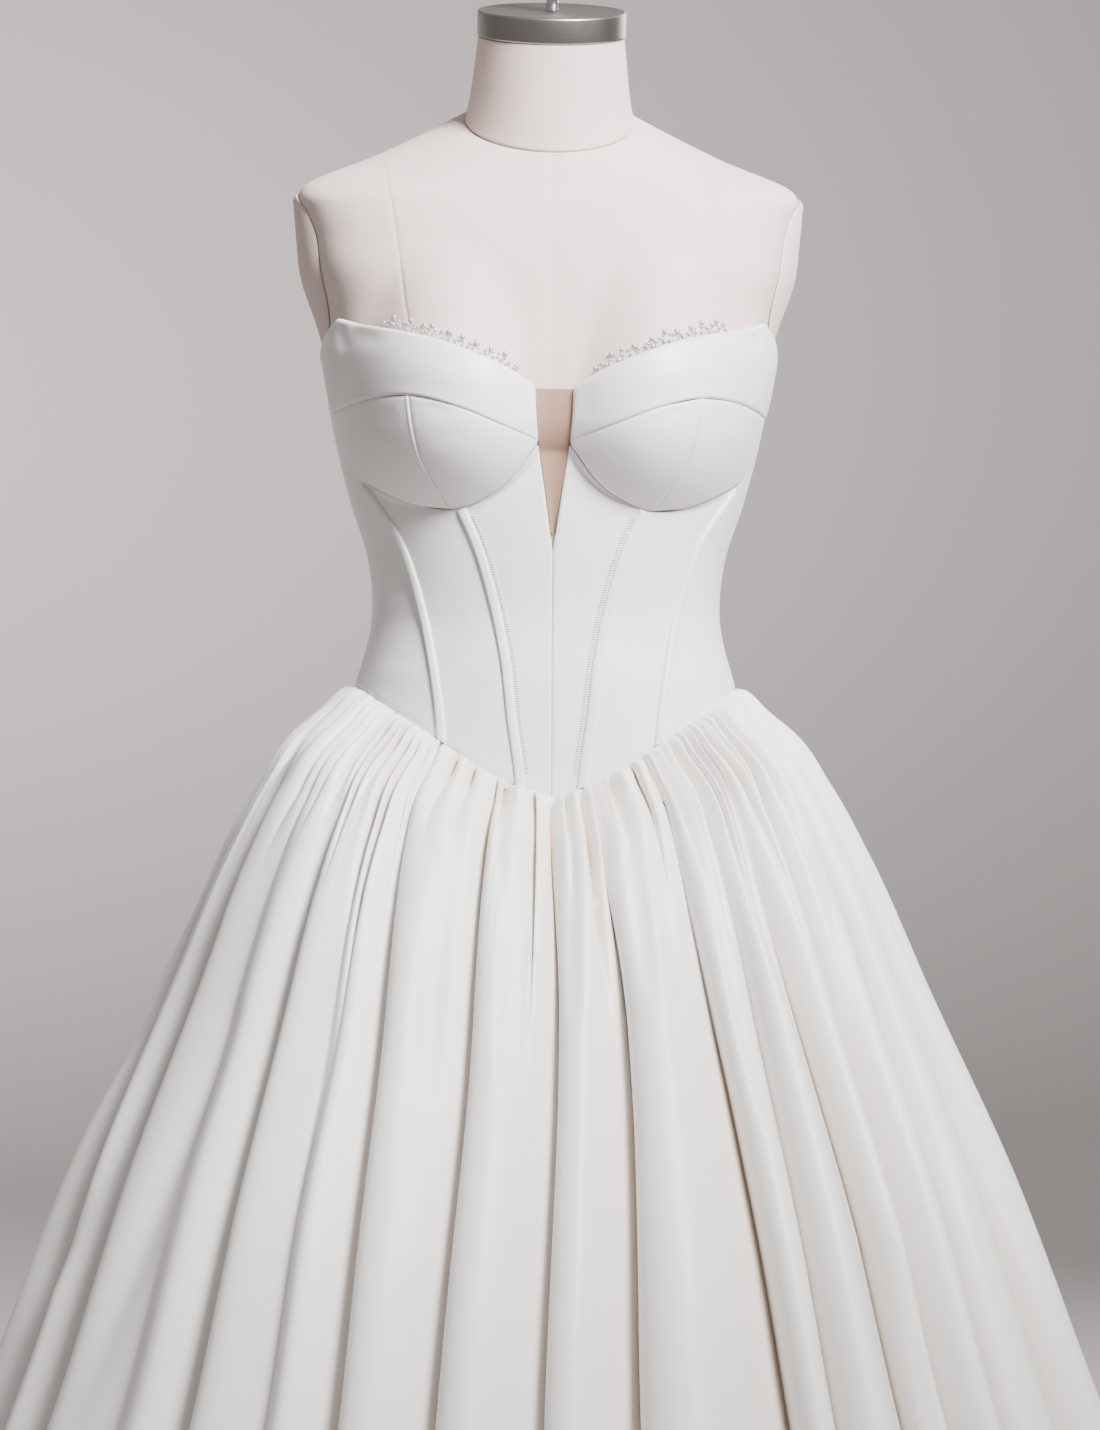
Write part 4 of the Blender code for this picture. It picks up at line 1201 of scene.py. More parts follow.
@dataclass
class Bodice:
    """The boned bodice: four panels a side, and the placket at the back."""

    cloth: Cloth = Cloth()
    below_seam: float = 0.007
    waist_level: float = 0.965
    waist_tuck: float = 0.0014
    waist_tuck_height: float = 0.003
    tongue_top: float = 1.1712
    rows: int = 78
    placket_half_width: float = 0.008
    placket_ends: tuple[float, float] = (0.001, 1.206)
    placket_cloth: Cloth = Cloth(0.0011, 0.0016, 0.0006)
    creases: tuple[Crease, ...] = (
        Crease(-0.094, 1.088, -0.118, 1.068, 0.006, 0.0007),
        Crease(-0.086, 1.062, -0.116, 1.046, 0.005, 0.0006),
        Crease(-0.06, 1.056, -0.08, 1.036, 0.007, 0.0006),
        Crease(-0.05, 1.01, -0.07, 0.986, 0.007, 0.0007),
        Crease(0.096, 1.072, 0.117, 1.052, 0.006, 0.0006),
        Crease(0.052, 1.045, 0.078, 1.028, 0.008, 0.0006),
        Crease(-0.092, 1.02, -0.122, 1.012, 0.006, -0.0006),
        Crease(0.094, 1.016, 0.124, 1.006, 0.006, -0.0006),
        Crease(0.006, 1.09, 0.022, 1.062, 0.008, 0.0004),
    )

    def bottom(self, left: Callable[[Array], Array],
               right: Callable[[Array], Array]) -> Callable[[Array], Array]:
        """Lower edge of a panel, a little under the waist seam.

        Args:
            left: angle of the panel's left line at a height.
            right: the same of its right line.

        Returns:
            The height at a share across.
        """
        start = left(np.array(self.waist_level))
        end = right(np.array(self.waist_level))
        return lambda share: (Seams.waist_height((1 - share) * start + share * end)
                              - self.below_seam)

    def seam_tuck(self, grid: Array) -> Array:
        """How far a panel turns in at the waist seam, under the skirt's edge."""
        above = grid[..., 1] - Seams.waist_height(grid[..., 0])
        return self.waist_tuck * (1 - ease(above / self.waist_tuck_height))

    def patches(self) -> list[Patch]:
        """The four panels of one side, from the centre front to the centre back.

        Returns:
            A patch for each panel.
        """
        underarm = float(Seams.outer.angle(np.array(UNDERARM)))
        wire = np.array([p for p in Seams.wire.points if p[0] >= Seams.inner.points[-1][0]])

        def wire_top(share: Array) -> Array:
            """Upper edge of the front-side panel, where its columns meet the wire.

            The height and the angle at that height are found in turn, eight times.

            Args:
                share: share across of each column.

            Returns:
                The height of each column's upper end.
            """
            height = np.interp(share, (0, 1), (wire[0, 1], wire[-1, 1]))
            turns = FIGURE.angle_at(wire[:, 0], wire[:, 1])
            for _ in range(8):
                angle = ((1 - share) * Seams.inner.angle(height)
                         + share * Seams.outer.angle(height))
                height = read_smoothly(angle, turns, wire[:, 1])
            return height

        def steady(value: float) -> Callable[[Array], Array]:
            """A level upper edge, or a line that stays at one angle."""
            return lambda places: np.full_like(places, value)

        def back_edge(start: float, end: float) -> Callable[[Array], Array]:
            """Upper edge between two angles of the back."""
            return lambda share: Seams.back_height((1 - share) * start + share * end)

        side_back = steady(Seams.side_back)
        panels = (
            ("centre_front_panel", Seams.centre, Seams.inner_and_wire,
             steady(self.tongue_top), 20),
            ("front_side_panel", Seams.inner.angle, Seams.outer.angle, wire_top, 26),
            ("side_panel", Seams.outer.angle, side_back, back_edge(underarm, Seams.side_back), 48),
            ("back_panel", side_back, steady(math.pi), back_edge(Seams.side_back, math.pi), 44),
        )
        made = []
        for name, left, right, top, columns in panels:
            grid = between_lines(left, right, self.bottom(left, right), top,
                                 crowded(columns, 0.08), crowded(self.rows, 0.05))
            made.append(Patch(name, grid, Layers.panel, self.cloth, (0.0, 1.0, 1.0, 1.0),
                              self.creases, -self.seam_tuck(grid)))
        return made

    def placket(self) -> Patch:
        """The covered placket down the centre back.

        Returns:
            Its patch.
        """
        start = Seams.waist_height(math.pi) + self.placket_ends[0]
        heights = np.linspace(start, self.placket_ends[1], 60)
        half = self.placket_half_width / FIGURE.size(heights, "half_width")
        across = crowded(8, 0.12) * 2 - 1
        grid = np.stack([math.pi + half[:, None] * across[None],
                         np.broadcast_to(heights[:, None], (60, len(across)))], axis=-1)
        return Patch("back_placket", grid, Layers.placket, self.placket_cloth)

    def build(self) -> None:
        """Build every panel on both sides, and the placket."""
        for patch in self.patches():
            for side in Side:
                patch.make(side, "form_torso")
        self.placket().make(Side.RIGHT, "back_panel_left", "back_panel_right", paired=False)


@dataclass
class Cups:
    """Lower cups in two parts a side, and the folded band above them."""

    cloth: Cloth = Cloth(0.0024, 0.0028, 0.0009, 0.0002)
    band_cloth: Cloth = Cloth(0.0024, 0.003, 0.0016)
    turned_in: tuple[float, float, float, float] = (1.5, 0.8, 0.6, 0.6)
    band_turned_in: tuple[float, float, float, float] = (0.7, 1.0, 0.6, 0.8)
    tip_clear: tuple[float, float] = (0.0005, 0.0012)
    seam_ridge: float = 0.0005
    seam_ridge_width: float = 0.0009
    rows: int = 26
    band_creases: tuple[Crease, ...] = (
        Crease(-0.1465, 1.256, -0.144, 1.238, 0.003, 0.0013),
        Crease(-0.138, 1.25, -0.118, 1.24, 0.006, 0.0008),
        Crease(0.144, 1.258, 0.14, 1.242, 0.003, 0.001),
        Crease(-0.022, 1.214, -0.017, 1.188, 0.006, 0.0012),
        Crease(0.023, 1.212, 0.018, 1.188, 0.006, 0.001),
        Crease(0.05, 1.2, 0.115, 1.212, 0.006, 0.0005),
        Crease(-0.05, 1.202, -0.12, 1.212, 0.006, 0.0005),
    )
    cup_creases: tuple[Crease, ...] = (
        Crease(-0.09, 1.196, -0.07, 1.19, 0.004, 0.0007),
        Crease(-0.085, 1.172, -0.06, 1.178, 0.006, 0.0005),
        Crease(0.088, 1.195, 0.068, 1.189, 0.004, 0.0006),
        Crease(0.108, 1.195, 0.125, 1.188, 0.005, 0.0006),
        Crease(-0.108, 1.193, -0.126, 1.185, 0.005, 0.0006),
        Crease(0.03, 1.168, 0.05, 1.16, 0.005, 0.0004),
    )

    def cup_patches(self) -> list[Patch]:
        """The inner and the outer lower cup, which meet at the cup seam.

        Returns:
            A patch for each.
        """
        wire, band = Seams.wire.points, Seams.band_bottom.points
        tip_low = Seams.inner_wire().points[0]
        tip_high = (band[0][0] + self.tip_clear[0], band[0][1] + self.tip_clear[1])
        split = next(i for i, p in enumerate(wire) if p[0] >= Seams.cup.points[0][0])
        meet = next(i for i, p in enumerate(band) if p[0] >= Seams.cup.points[-1][0])
        up, across = crowded(self.rows, 0.06), crowded(28, 0.05)
        seam = Seams.cup.along(up)
        inner = between_edges(
            Seams.inner_wire().along(across),
            SeamLine((tip_high, *band[1:meet + 1])).along(across),
            SeamLine((tip_low, tip_high)).along(up), seam, across, up)
        heights = wire[-1][1] + up * (band[-1][1] - wire[-1][1])
        side = np.stack([Seams.outer.angle(heights), heights], axis=-1)
        outer = between_edges(SeamLine(wire[split:]).along(across),
                              SeamLine(band[meet:]).along(across), seam, side, across, up)
        return [Patch(name, grid, Layers.cup, self.cloth, self.turned_in, self.cup_creases, ridge)
                for name, grid, ridge in (("inner_cup", inner, None),
                                          ("outer_cup", outer, self.ridge_beside(outer)))]

    def ridge_beside(self, grid: Array) -> Array:
        """A low ridge where the seam allowance is pressed, a bell just inside the left edge.

        Args:
            grid: the piece's (angle, height) places.

        Returns:
            The ridge's height at each place.
        """
        away = lengths(FIGURE.at(grid[..., 0], grid[..., 1], Layers.cup), 1)
        middle = 1.7 * self.seam_ridge_width
        return self.seam_ridge * np.exp(-((away - middle) / self.seam_ridge_width) ** 2)

    def band_patch(self) -> Patch:
        """The upper band, from the plunge edge to the rounded underarm peak.

        Returns:
            Its patch, which flares away from the form towards its upper edge.
        """
        across, up = crowded(64, 0.03), crowded(self.rows, 0.07)
        corner = Seams.band_bottom.points[0][1]
        plunge = SeamLine(tuple(p for p in Seams.plunge.points if p[1] >= corner))
        side = Seams.band_side.along(up)
        on_seam = side[:, 1] <= UNDERARM
        side[on_seam, 0] = Seams.outer.angle(side[on_seam, 1])
        grid = between_edges(Seams.band_bottom.along(across), Seams.band_top.along(across),
                             plunge.along(up), side, across, up)
        lift = Layers.band + Layers.band_flare * up[:, None] * np.ones(len(across))
        return Patch("band", grid, lift, self.band_cloth, self.band_turned_in,
                     self.band_creases)

    def build(self) -> None:
        """Build the cups and bands on both sides."""
        for patch in self.cup_patches():
            for side in Side:
                patch.make(side, "form_torso")
        band = self.band_patch()
        for side in Side:
            band.make(side, "inner_cup" + side.label)


@dataclass
class Channels:
    """Padded boning channels over the seams, with close stitches beside the inner ones."""

    widths: tuple[float, float] = (0.007, 0.0062)
    foot: tuple[float, float] = (0.942, 0.972)
    rise: float = 0.002
    arch_powers: tuple[float, float] = (3.2, 0.6)
    fuller: float = 0.14
    end_share: float = 0.55
    end_reach: float = 0.003
    taper: float = 0.3
    columns: int = 15
    base_lift: float = 0.0002
    above_waist: float = 0.0004
    stitch_pitch: float = 0.0017
    stitch_length: float = 0.0038
    stitch_height: float = 0.0006
    stitch_half_thickness: float = 0.00042
    stitch_ends: tuple[float, float] = (0.948, 1.124)
    top_outer: float = 1.144
    top_inner_at: float = 0.0615
    below_wire: float = 0.0009
    edge_wall: float = 0.0003
    least_cut: float = 0.0102

    def profile(self, across: Array) -> Array:
        """Height of the channel: a flattened arch, fuller on the side away from the centre."""
        arch = (1 - np.abs(across) ** self.arch_powers[0]) ** self.arch_powers[1]
        return arch * (1 - self.fuller + self.fuller * across) + 0.02

    def grid(self, which: int, line: SeamLine) -> tuple[Array, Array]:
        """Places of one channel and its shares across.

        Args:
            which: 0 for the inner and 1 for the outer channel.
            line: the seam it covers.

        Returns:
            The grid of (angle, height), and the share across of each column from -1 to 1.
        """
        across = np.sin(np.linspace(-math.pi / 2, math.pi / 2, self.columns))
        half = self.widths[which] / 2
        foot_height = np.array(self.foot[which])
        foot = line.x_at(foot_height) + across * half
        start = Seams.waist_height(FIGURE.angle_at(foot, np.full(len(across), foot_height)))
        start = start + self.above_waist
        up = crowded(90, 0.03)
        if which == 0:
            top = np.interp(self.top_inner_at + across * half,
                            *zip(*Seams.wire.points)) - self.below_wire
        else:
            top = np.full(across.shape, self.top_outer)
        heights = start + up[:, None] * (top[None] - start)
        taper = 1.0 if which == 0 else 1 - self.taper * up[:, None]
        x = line.x_at(heights) + across[None] * half * taper
        return np.stack([FIGURE.angle_at(x, heights), heights], axis=-1), across

    def build(self) -> None:
        """Build the four channels and the stitches beside the inner two."""
        low = Layers.panel + self.base_lift
        for which, (name, line) in enumerate((("inner", Seams.inner), ("outer", Seams.outer))):
            grid, across = self.grid(which, line)
            flat = FIGURE.at(grid[..., 0], grid[..., 1], low)
            up = lengths(flat, 0)
            ends = np.minimum(up, up[-1:] - up)
            full = self.end_share + (1 - self.end_share) * ease(ends / self.end_reach)
            body = self.profile(across)[None] * full
            outer = FIGURE.at(grid[..., 0], grid[..., 1],
                              low + self.rise * body + self.edge_wall)
            for side in Side:
                Sheet(f"{name}_channel{side.label}", side, outer, flat, flat,
                      ("front_side_panel" + side.label,), least_width=self.least_cut).put()
        for side in Side:
            self.stitches(side)

    def stitches(self, side: Side) -> None:
        """Short raised stitches beside the centre-side edge of the inner channel.

        Each is a small sphere drawn out across the edge, low off the cloth and thin along
        the seam.

        Args:
            side: which half.
        """
        heights = np.arange(*self.stitch_ends, self.stitch_pitch)
        x = Seams.inner.x_at(heights) - self.widths[0] / 2 - 0.5 * self.stitch_length
        angle = FIGURE.angle_at(x, heights)
        places = FIGURE.at(angle, heights, Layers.panel + 0.5 * self.stitch_height)
        step = 0.002
        out_side = FIGURE.at(angle + step, heights, Layers.panel) - FIGURE.at(
            angle - step, heights, Layers.panel)
        out_side /= np.linalg.norm(out_side, axis=1, keepdims=True)
        rising = np.tile([0.0, 0.0, 1.0], (len(heights), 1))
        outward = np.cross(out_side, rising)
        outward /= np.linalg.norm(outward, axis=1, keepdims=True)
        rising = np.cross(outward, out_side)
        frames = np.stack([rising * self.stitch_half_thickness, outward * self.stitch_height,
                           out_side * self.stitch_length / 2], axis=1)
        item = put_copies("inner_stitches" + side.label, sphere_pattern(6, 4),
                          places * side.mirror, frames * side.mirror)
        turn_out(item)
        settle(item, THREAD)


def turn_out(item: bpy.types.Object) -> None:
    """Turn a joined mesh's faces to point outwards.

    Args:
        item: the piece.
    """
    work = bmesh.new()
    work.from_mesh(item.data)
    bmesh.ops.recalc_face_normals(work, faces=work.faces)
    work.to_mesh(item.data)
    work.free()


@dataclass
class PlungeInsert:
    """The straight-topped insert of nude net between the plunge edges."""

    start: float = 0.012
    below_top: float = 0.0015
    lift: float = 0.0029
    clear: float = 0.0004
    least_half_width: float = 0.0003
    hollow: float = 0.0012
    wall: float = 0.0008

    def build(self) -> None:
        """Stretch the net between the two edges, straight across."""
        heights = np.linspace(Seams.plunge_point + self.start,
                              Seams.plunge.points[-1][1] - self.below_top, 50)
        right = FIGURE.at(Seams.plunge.angle(heights), heights, self.lift)
        right[:, 0] = np.maximum(right[:, 0] - self.clear, self.least_half_width)
        across = np.linspace(-1, 1, 17)
        ones = np.ones(len(across))
        outer = right[:, None] * np.stack([across, ones, ones], axis=-1)[None]
        outer[..., 1] += self.hollow * (1 - across**2)[None]
        inner = outer + np.array([0.0, self.wall, 0.0])
        Sheet("plunge_mesh", Side.RIGHT, outer, inner, outer,
              ("centre_front_panel_left", "centre_front_panel_right"), NUDE_NET).put()


@dataclass
class PearlTrim:
    """Pearls and glass beads on a sheer net strip behind each band's upper edge."""

    ends: tuple[float, float] = (0.024, 0.119)
    above: float = 0.0085
    below: float = 0.007
    wall: float = 0.0004
    inside: float = 0.0013
    band_wall: float = 0.0024
    wave: float = 0.14
    wave_length: float = 0.012
    net_taper: float = 0.008
    end_share: float = 0.35
    end_below: float = 0.002
    bead_margins: tuple[float, float] = (0.002, 0.003)
    bead_taper: float = 0.01
    bead_end_share: float = 0.45
    row_shift: float = 0.45
    bead_rise: float = 0.0011
    bead_shift: float = 0.3
    seed: int = 11

    def strip_lift(self) -> float:
        """How far the strip stands off the form, just inside the band."""
        return Layers.band + Layers.band_flare / 2 - self.band_wall - self.inside

    def on_strip(self, x: Array, above: Array, lift: Array) -> Array:
        """Points at a distance above the band's upper edge."""
        line = read_table(x, Seams.band_top.points)
        return FIGURE.at(FIGURE.angle_at(x, line), line + above, lift)

    def net(self, side: Side) -> None:
        """The net strip, whose upper edge waves as a cosine and falls at both ends.

        Args:
            side: which half.
        """
        x = np.linspace(*self.ends, 90)
        top = self.above * (1 - self.wave + self.wave * np.cos(
            (x - x[0]) * TURN / self.wave_length))
        taper = ease(np.minimum(x - x[0], x[-1] - x) / self.net_taper)
        low = self.end_share + (1 - self.end_share) * taper
        top = -self.end_below + (top + self.end_below) * low
        share = np.linspace(0, 1, 8)[:, None]
        above = -self.below + share * (top[None] + self.below)
        places = np.broadcast_to(x, above.shape)
        outer = self.on_strip(places, above, self.strip_lift())
        inner = self.on_strip(places, above, self.strip_lift() - self.wall)
        Sheet("pearl_strip" + side.label, side, outer, inner, outer, ("band" + side.label,),
              SHEER_NET, "pearl_net" + side.label).put()

    def beads(self, side: Side, name: str, pitch: float, radii: tuple[float, float],
              rows: tuple[float, ...], finish: Finish, generator: np.random.Generator) -> None:
        """Scatter one kind of bead in loose rows.

        Args:
            side: which half.
            name: the start of the piece's name.
            pitch: usual distance between two beads of a row.
            radii: smallest and largest radius.
            rows: height of each row above the band's edge.
            finish: the beads' finish.
            generator: the seeded source of unevenness.
        """
        count = int((self.ends[1] - self.ends[0]) / pitch)
        start, end = self.ends
        x = np.linspace(start + self.bead_margins[0], end - self.bead_margins[1], count)
        x = (x[None] + pitch * np.arange(len(rows))[:, None] * self.row_shift).ravel()
        rise = generator.uniform(-self.bead_rise, self.bead_rise, x.size)
        above = np.repeat(rows, count) + rise
        x = x + generator.uniform(-self.bead_shift, self.bead_shift, x.size) * pitch
        radius = generator.uniform(*radii, x.size)
        fall = ease(np.minimum(x - start, end - x) / self.bead_taper)
        above = above * (self.bead_end_share + (1 - self.bead_end_share) * fall)
        keep = (x > start + 0.001) & (x < end - 0.001)
        x, above, radius = x[keep], above[keep], radius[keep]
        places = self.on_strip(x, above, self.strip_lift() + radius)
        frames = np.eye(3)[None] * radius[:, None, None]
        item = put_copies(name + side.label, sphere_pattern(8, 6), places * side.mirror, frames)
        settle(item, finish)

    def build(self) -> None:
        """Build the net and its beads on both sides."""
        for side in Side:
            generator = np.random.default_rng(self.seed + (side is Side.LEFT))
            self.net(side)
            self.beads(side, "large_pearls", 0.0084, (0.0017, 0.0022), (0.008,), PEARL, generator)
            self.beads(side, "small_pearls", 0.0044, (0.001, 0.0015), (0.005, 0.0018), PEARL,
                       generator)
            self.beads(side, "glass_beads", 0.0036, (0.0006, 0.0009), (0.0066, 0.0034),
                       GLASS_BEAD, generator)


@dataclass
class Skirt:
    """The full skirt: seven gathered panels, folded from the waist seam to the floor."""

    wall: float = 0.001
    gap: float = 0.00015
    hem_height: float = 0.0055
    seam_lift: float = 0.0026
    seam_lift_by: float = 0.004
    under_panel: float = 0.0003
    folds_form_by: float = 0.25
    pleats_drift_by: float = 0.14
    # Gather and pucker depths at which the painted fold shade is full.
    full_tint: tuple[float, float] = (0.01, 0.006)
    fold_roundness: float = 0.58
    gather_slit: float = 0.1
    gather_slit_share: float = 0.45
    fold_slit: float = 0.03
    fold_slit_share: float = 0.1
    soft_under: float = 0.5
    soft_power: float = 1.7
    fold_skews: tuple[float, float] = (0.62, 0.9)
    fold_falls: tuple[float, float] = (0.85, 1.45)
    settles_at: float = 0.47
    side_drop: float = 1.003
    gathers_per_fold: int = 3
    puckers_per_gather: int = 2
    columns_per_gather: int = 14
    crest_power: float = 0.95
    pucker_depth: float = 0.003
    pucker_power: float = 0.9
    pucker_start: float = 0.35
    pucker_full_by: float = 0.003
    creases_by: float = 0.05
    seed: int = 7
    puff: float = 0.003
    puff_at: float = 0.004
    outline: tuple[Swell, ...] = (
        Swell(0.0, 0.0), Swell(0.005, 0.0085), Swell(0.014, 0.0195), Swell(0.028, 0.0375),
        Swell(0.067, 0.066), Swell(0.117, 0.094), Swell(0.21, 0.137), Swell(0.334, 0.1975),
        Swell(0.479, 0.2555), Swell(1.003, 0.456),
    )
    fold_depths: Points = ((0.0, 0.0), (0.011, 0.001), (0.034, 0.007), (0.08, 0.017),
                           (0.13, 0.026), (0.24, 0.036), (0.4, 0.044), (0.64, 0.05),
                           (1.0, 0.056))
    gather_depths: Points = ((0.0, 0.0006), (0.004, 0.005), (0.011, 0.0106), (0.03, 0.0128),
                             (0.06, 0.008), (0.1, 0.0028), (0.14, 0.0006), (0.18, 0.0))
    row_knots: Points = ((0, 0.0), (20, 0.012), (45, 0.06), (80, 0.22), (130, 1.0))
    panels: tuple[tuple[str, int, int], ...] = (
        ("skirt_front", 0, 5),
        ("skirt_front_side_right", 5, 9),
        ("skirt_back_side_right", 9, 13),
        ("skirt_back_right", 13, 17),
        ("skirt_back_left", 17, 21),
        ("skirt_back_side_left", 21, 25),
        ("skirt_front_side_left", 25, 29),
    )
    folds: tuple[Fold, ...] = (
        Fold(-28.0, -23.0, 1.05, 0.1, 0.45),
        Fold(-12.0, -13.0, 0.85, 0.05, 0.4),
        Fold(0.5, -2.5, 0.7, 0.1, 0.3),
        Fold(9.0, 5.0, 0.9, 0.0, 0.45),
        Fold(22.0, 21.5, 0.9, 0.1, 0.3),
        Fold(30.5, 27.5, 0.75, 0.0, 0.1),
        Fold(38.0, 36.5, 0.85, 0.1, 0.3),
        Fold(48.0, 42.5, 1.1, 0.05, 0.1),
        Fold(60.0, 50.0, 0.85, 0.1, 0.3),
        Fold(75.0, 67.0, 1.1, 0.0, 0.3),
        Fold(89.0, 80.0, 0.85, 0.1, 0.0),
        Fold(102.0, 93.5, 1.0, 0.05, 0.2),
        Fold(115.0, 107.0, 0.75, 0.2, 0.0),
        Fold(128.0, 121.5, 1.05, 0.0, -0.1),
        Fold(141.0, 136.5, 0.85, 0.15, 0.0),
        Fold(154.0, 151.0, 1.0, 0.05, 0.1),
        Fold(167.0, 165.5, 0.8, 0.15, 0.0),
        Fold(180.0, 180.0, 1.0, 0.0, 0.0),
        Fold(195.0, 197.0, 0.85, 0.15, 0.0),
        Fold(210.0, 213.5, 1.05, 0.0, 0.2),
        Fold(223.0, 229.0, 0.75, 0.2, 0.0),
        Fold(236.0, 245.0, 1.0, 0.05, -0.1),
        Fold(249.0, 260.5, 0.85, 0.15, 0.0),
        Fold(262.0, 276.0, 1.05, 0.05, 0.0),
        Fold(275.0, 291.0, 0.8, 0.15, 0.0),
        Fold(290.0, 299.0, 1.1, 0.1, 0.5),
        Fold(304.5, 313.0, 0.3, 0.1, 0.0),
        Fold(316.0, 321.5, 0.95, 0.05, 0.35),
        Fold(325.0, 331.0, 0.35, 0.1, 0.2),
        Fold(332.0, 337.0, 1.05, 0.1, 0.45),
    )
    creases: tuple[Crease, ...] = (
        Crease(-66.0, 0.85, -68.0, 0.6, 0.01, 0.008),
        Crease(-50.0, 0.8, -54.0, 0.5, 0.016, 0.006),
        Crease(-31.0, 0.87, -30.0, 0.66, 0.007, 0.005),
        Crease(-18.0, 0.89, -17.0, 0.7, 0.008, 0.005),
        Crease(-6.5, 0.9, -6.0, 0.74, 0.006, 0.004),
        Crease(2.2, 0.92, 1.5, 0.78, 0.005, 0.004),
        Crease(13.5, 0.93, 12.0, 0.8, 0.007, 0.007),
        Crease(17.0, 0.93, 16.0, 0.78, 0.006, 0.005),
        Crease(25.5, 0.88, 25.0, 0.72, 0.006, 0.005),
        Crease(33.5, 0.92, 34.5, 0.79, 0.008, 0.007),
        Crease(53.5, 0.92, 47.0, 0.76, 0.009, 0.006),
        Crease(56.0, 0.85, 53.0, 0.66, 0.01, 0.007),
        Crease(70.0, 0.86, 71.0, 0.6, 0.01, 0.007),
        Crease(38.5, 0.64, 38.0, 0.45, 0.012, 0.01),
    )
    hidden_creases: int = 26

    def column(self, name: str) -> Array:
        """One field of every fold."""
        return np.array([getattr(fold, name) for fold in self.folds])

    def beside(self, phase: Array) -> tuple[Array, Array, Array]:
        """Numbers of the valleys to the left and right of places, and the way between.

        Args:
            phase: fold phase of each place. Whole phases are valleys.

        Returns:
            The left valley, the right one, and the share of the way from left to right.
        """
        count = len(self.folds) - 1
        low = np.floor(phase).astype(int) % count
        return low, (low + 1) % count, phase - np.floor(phase)

    def angles(self, phase: Array, share: Array) -> Array:
        """Angle of a fold phase, which moves from its waist angle to its low one.

        Args:
            phase: fold phase of each place.
            share: share of the drop of each place.

        Returns:
            The angles, in radians.
        """
        numbers = np.arange(len(self.folds))
        moved = ease(share / self.settles_at)
        at_waist = np.interp(phase, numbers, self.column("waist"))
        low = np.interp(phase, numbers, self.column("low"))
        return np.radians((1 - moved) * at_waist + moved * low)

    def all_creases(self) -> tuple[Crease, ...]:
        """The creases of the front, and uneven ones like them round the hidden sides.

        Returns:
            The creases, the hidden ones from a seeded source.
        """
        generator = np.random.default_rng(self.seed + 1)
        made = list(self.creases)
        for start in np.linspace(84, 276, self.hidden_creases):
            top = generator.uniform(0.8, 0.93)
            low = top - generator.uniform(0.14, 0.4)
            drift = generator.uniform(-3, 3)
            made.append(Crease(start + generator.uniform(-3, 3), top, start + drift, low,
                                    generator.uniform(0.006, 0.011),
                                    generator.uniform(0.004, 0.008)))
        return tuple(made)

    def crease_depth(self, angle: Array, height: Array, radius: Array) -> Array:
        """Depth of the soft creases: a bell across each and a sine down its length.

        Args:
            angle: angle of each place.
            height: height of each place.
            radius: distance from the axis of each place.

        Returns:
            How far each place sinks.
        """
        total = np.zeros(angle.shape)
        degrees = np.degrees(angle)
        for crease in self.all_creases():
            span = crease.height_start - crease.height_end
            down = np.clip((crease.height_start - height) / span, 0, 1)
            line = crease.across_start + down * (crease.across_end - crease.across_start)
            turned = (degrees - line + 180) % 360 - 180
            away = np.radians(turned) * radius / crease.width
            total += crease.depth * np.sin(math.pi * down) ** 0.8 * np.exp(-away**2)
        return total

    def fold_sink(self, phase: Array, share: Array) -> tuple[Array, Array]:
        """How far each place sinks into the large folds, and how deep in a valley it is.

        Between two valleys the cloth rises as a sine to a power, steep beside the left
        valley and falling to the right one, each to a power of its own. Beside a weak
        fold's valley the power is a soft one. A narrow bell deepens the other valleys.

        Args:
            phase: fold phase of each place.
            share: share of the drop of each place.

        Returns:
            How far each place sinks, and its nearness to a valley.
        """
        low, high, turn = self.beside(phase)
        generator = np.random.default_rng(self.seed + 9)
        skew = generator.uniform(*self.fold_skews, len(self.folds))[low]
        fall = generator.uniform(*self.fold_falls, len(self.folds))[low]
        skewed = turn ** skew
        depth = self.column("depth")
        nearness = np.where(skewed < 0.5, depth[low], depth[high])
        soft = depth < self.soft_under
        rising = np.where(soft[low], self.soft_power, self.fold_roundness)
        falling = np.where(soft[high], self.soft_power, fall)
        ridge = np.sin(math.pi * skewed) ** np.where(skewed < 0.5, rising, falling)
        depth_here = read_table(share, self.fold_depths)
        slit = self.fold_slit_share * np.exp(
            -(np.minimum(skewed, 1 - skewed) / self.fold_slit) ** 2)
        slit = np.where(np.where(skewed < 0.5, soft[low], soft[high]), 0.0, slit)
        sunk = depth_here * (nearness * (1 - ridge + slit) + self.column("back")[low] * ridge)
        return sunk, (1 - ridge) * nearness

    def valley_facts(self) -> dict[str, Array]:
        """Uneven facts of each pleat's valley, from a seeded source, the ends alike.

        Returns:
            For every valley: its strength, length, skew, sideways place at the waist and
            its drift from there. Every third valley is a fold's own, and stays in place.
        """
        generator = np.random.default_rng(self.seed)
        count = self.gathers_per_fold * (len(self.folds) - 1)
        own = np.arange(count) % self.gathers_per_fold == 0
        facts = {
            "strength": np.where(own, generator.uniform(0.75, 1.3, count),
                                 generator.uniform(0.65, 1.35, count)),
            "length": np.where(own, generator.uniform(0.5, 1.3, count),
                               np.exp(generator.uniform(-1.1, 0.5, count))),
            "place": np.where(own, 0.0, generator.uniform(-0.24, 0.24, count)),
            "drift": np.where(own, 0.0, generator.uniform(-0.2, 0.2, count)),
            "lean": generator.uniform(-0.7, 0.7, count),
            "skew": generator.uniform(-0.4, 0.4, count),
        }
        return {key: np.append(values, values[:2]) for key, values in facts.items()}

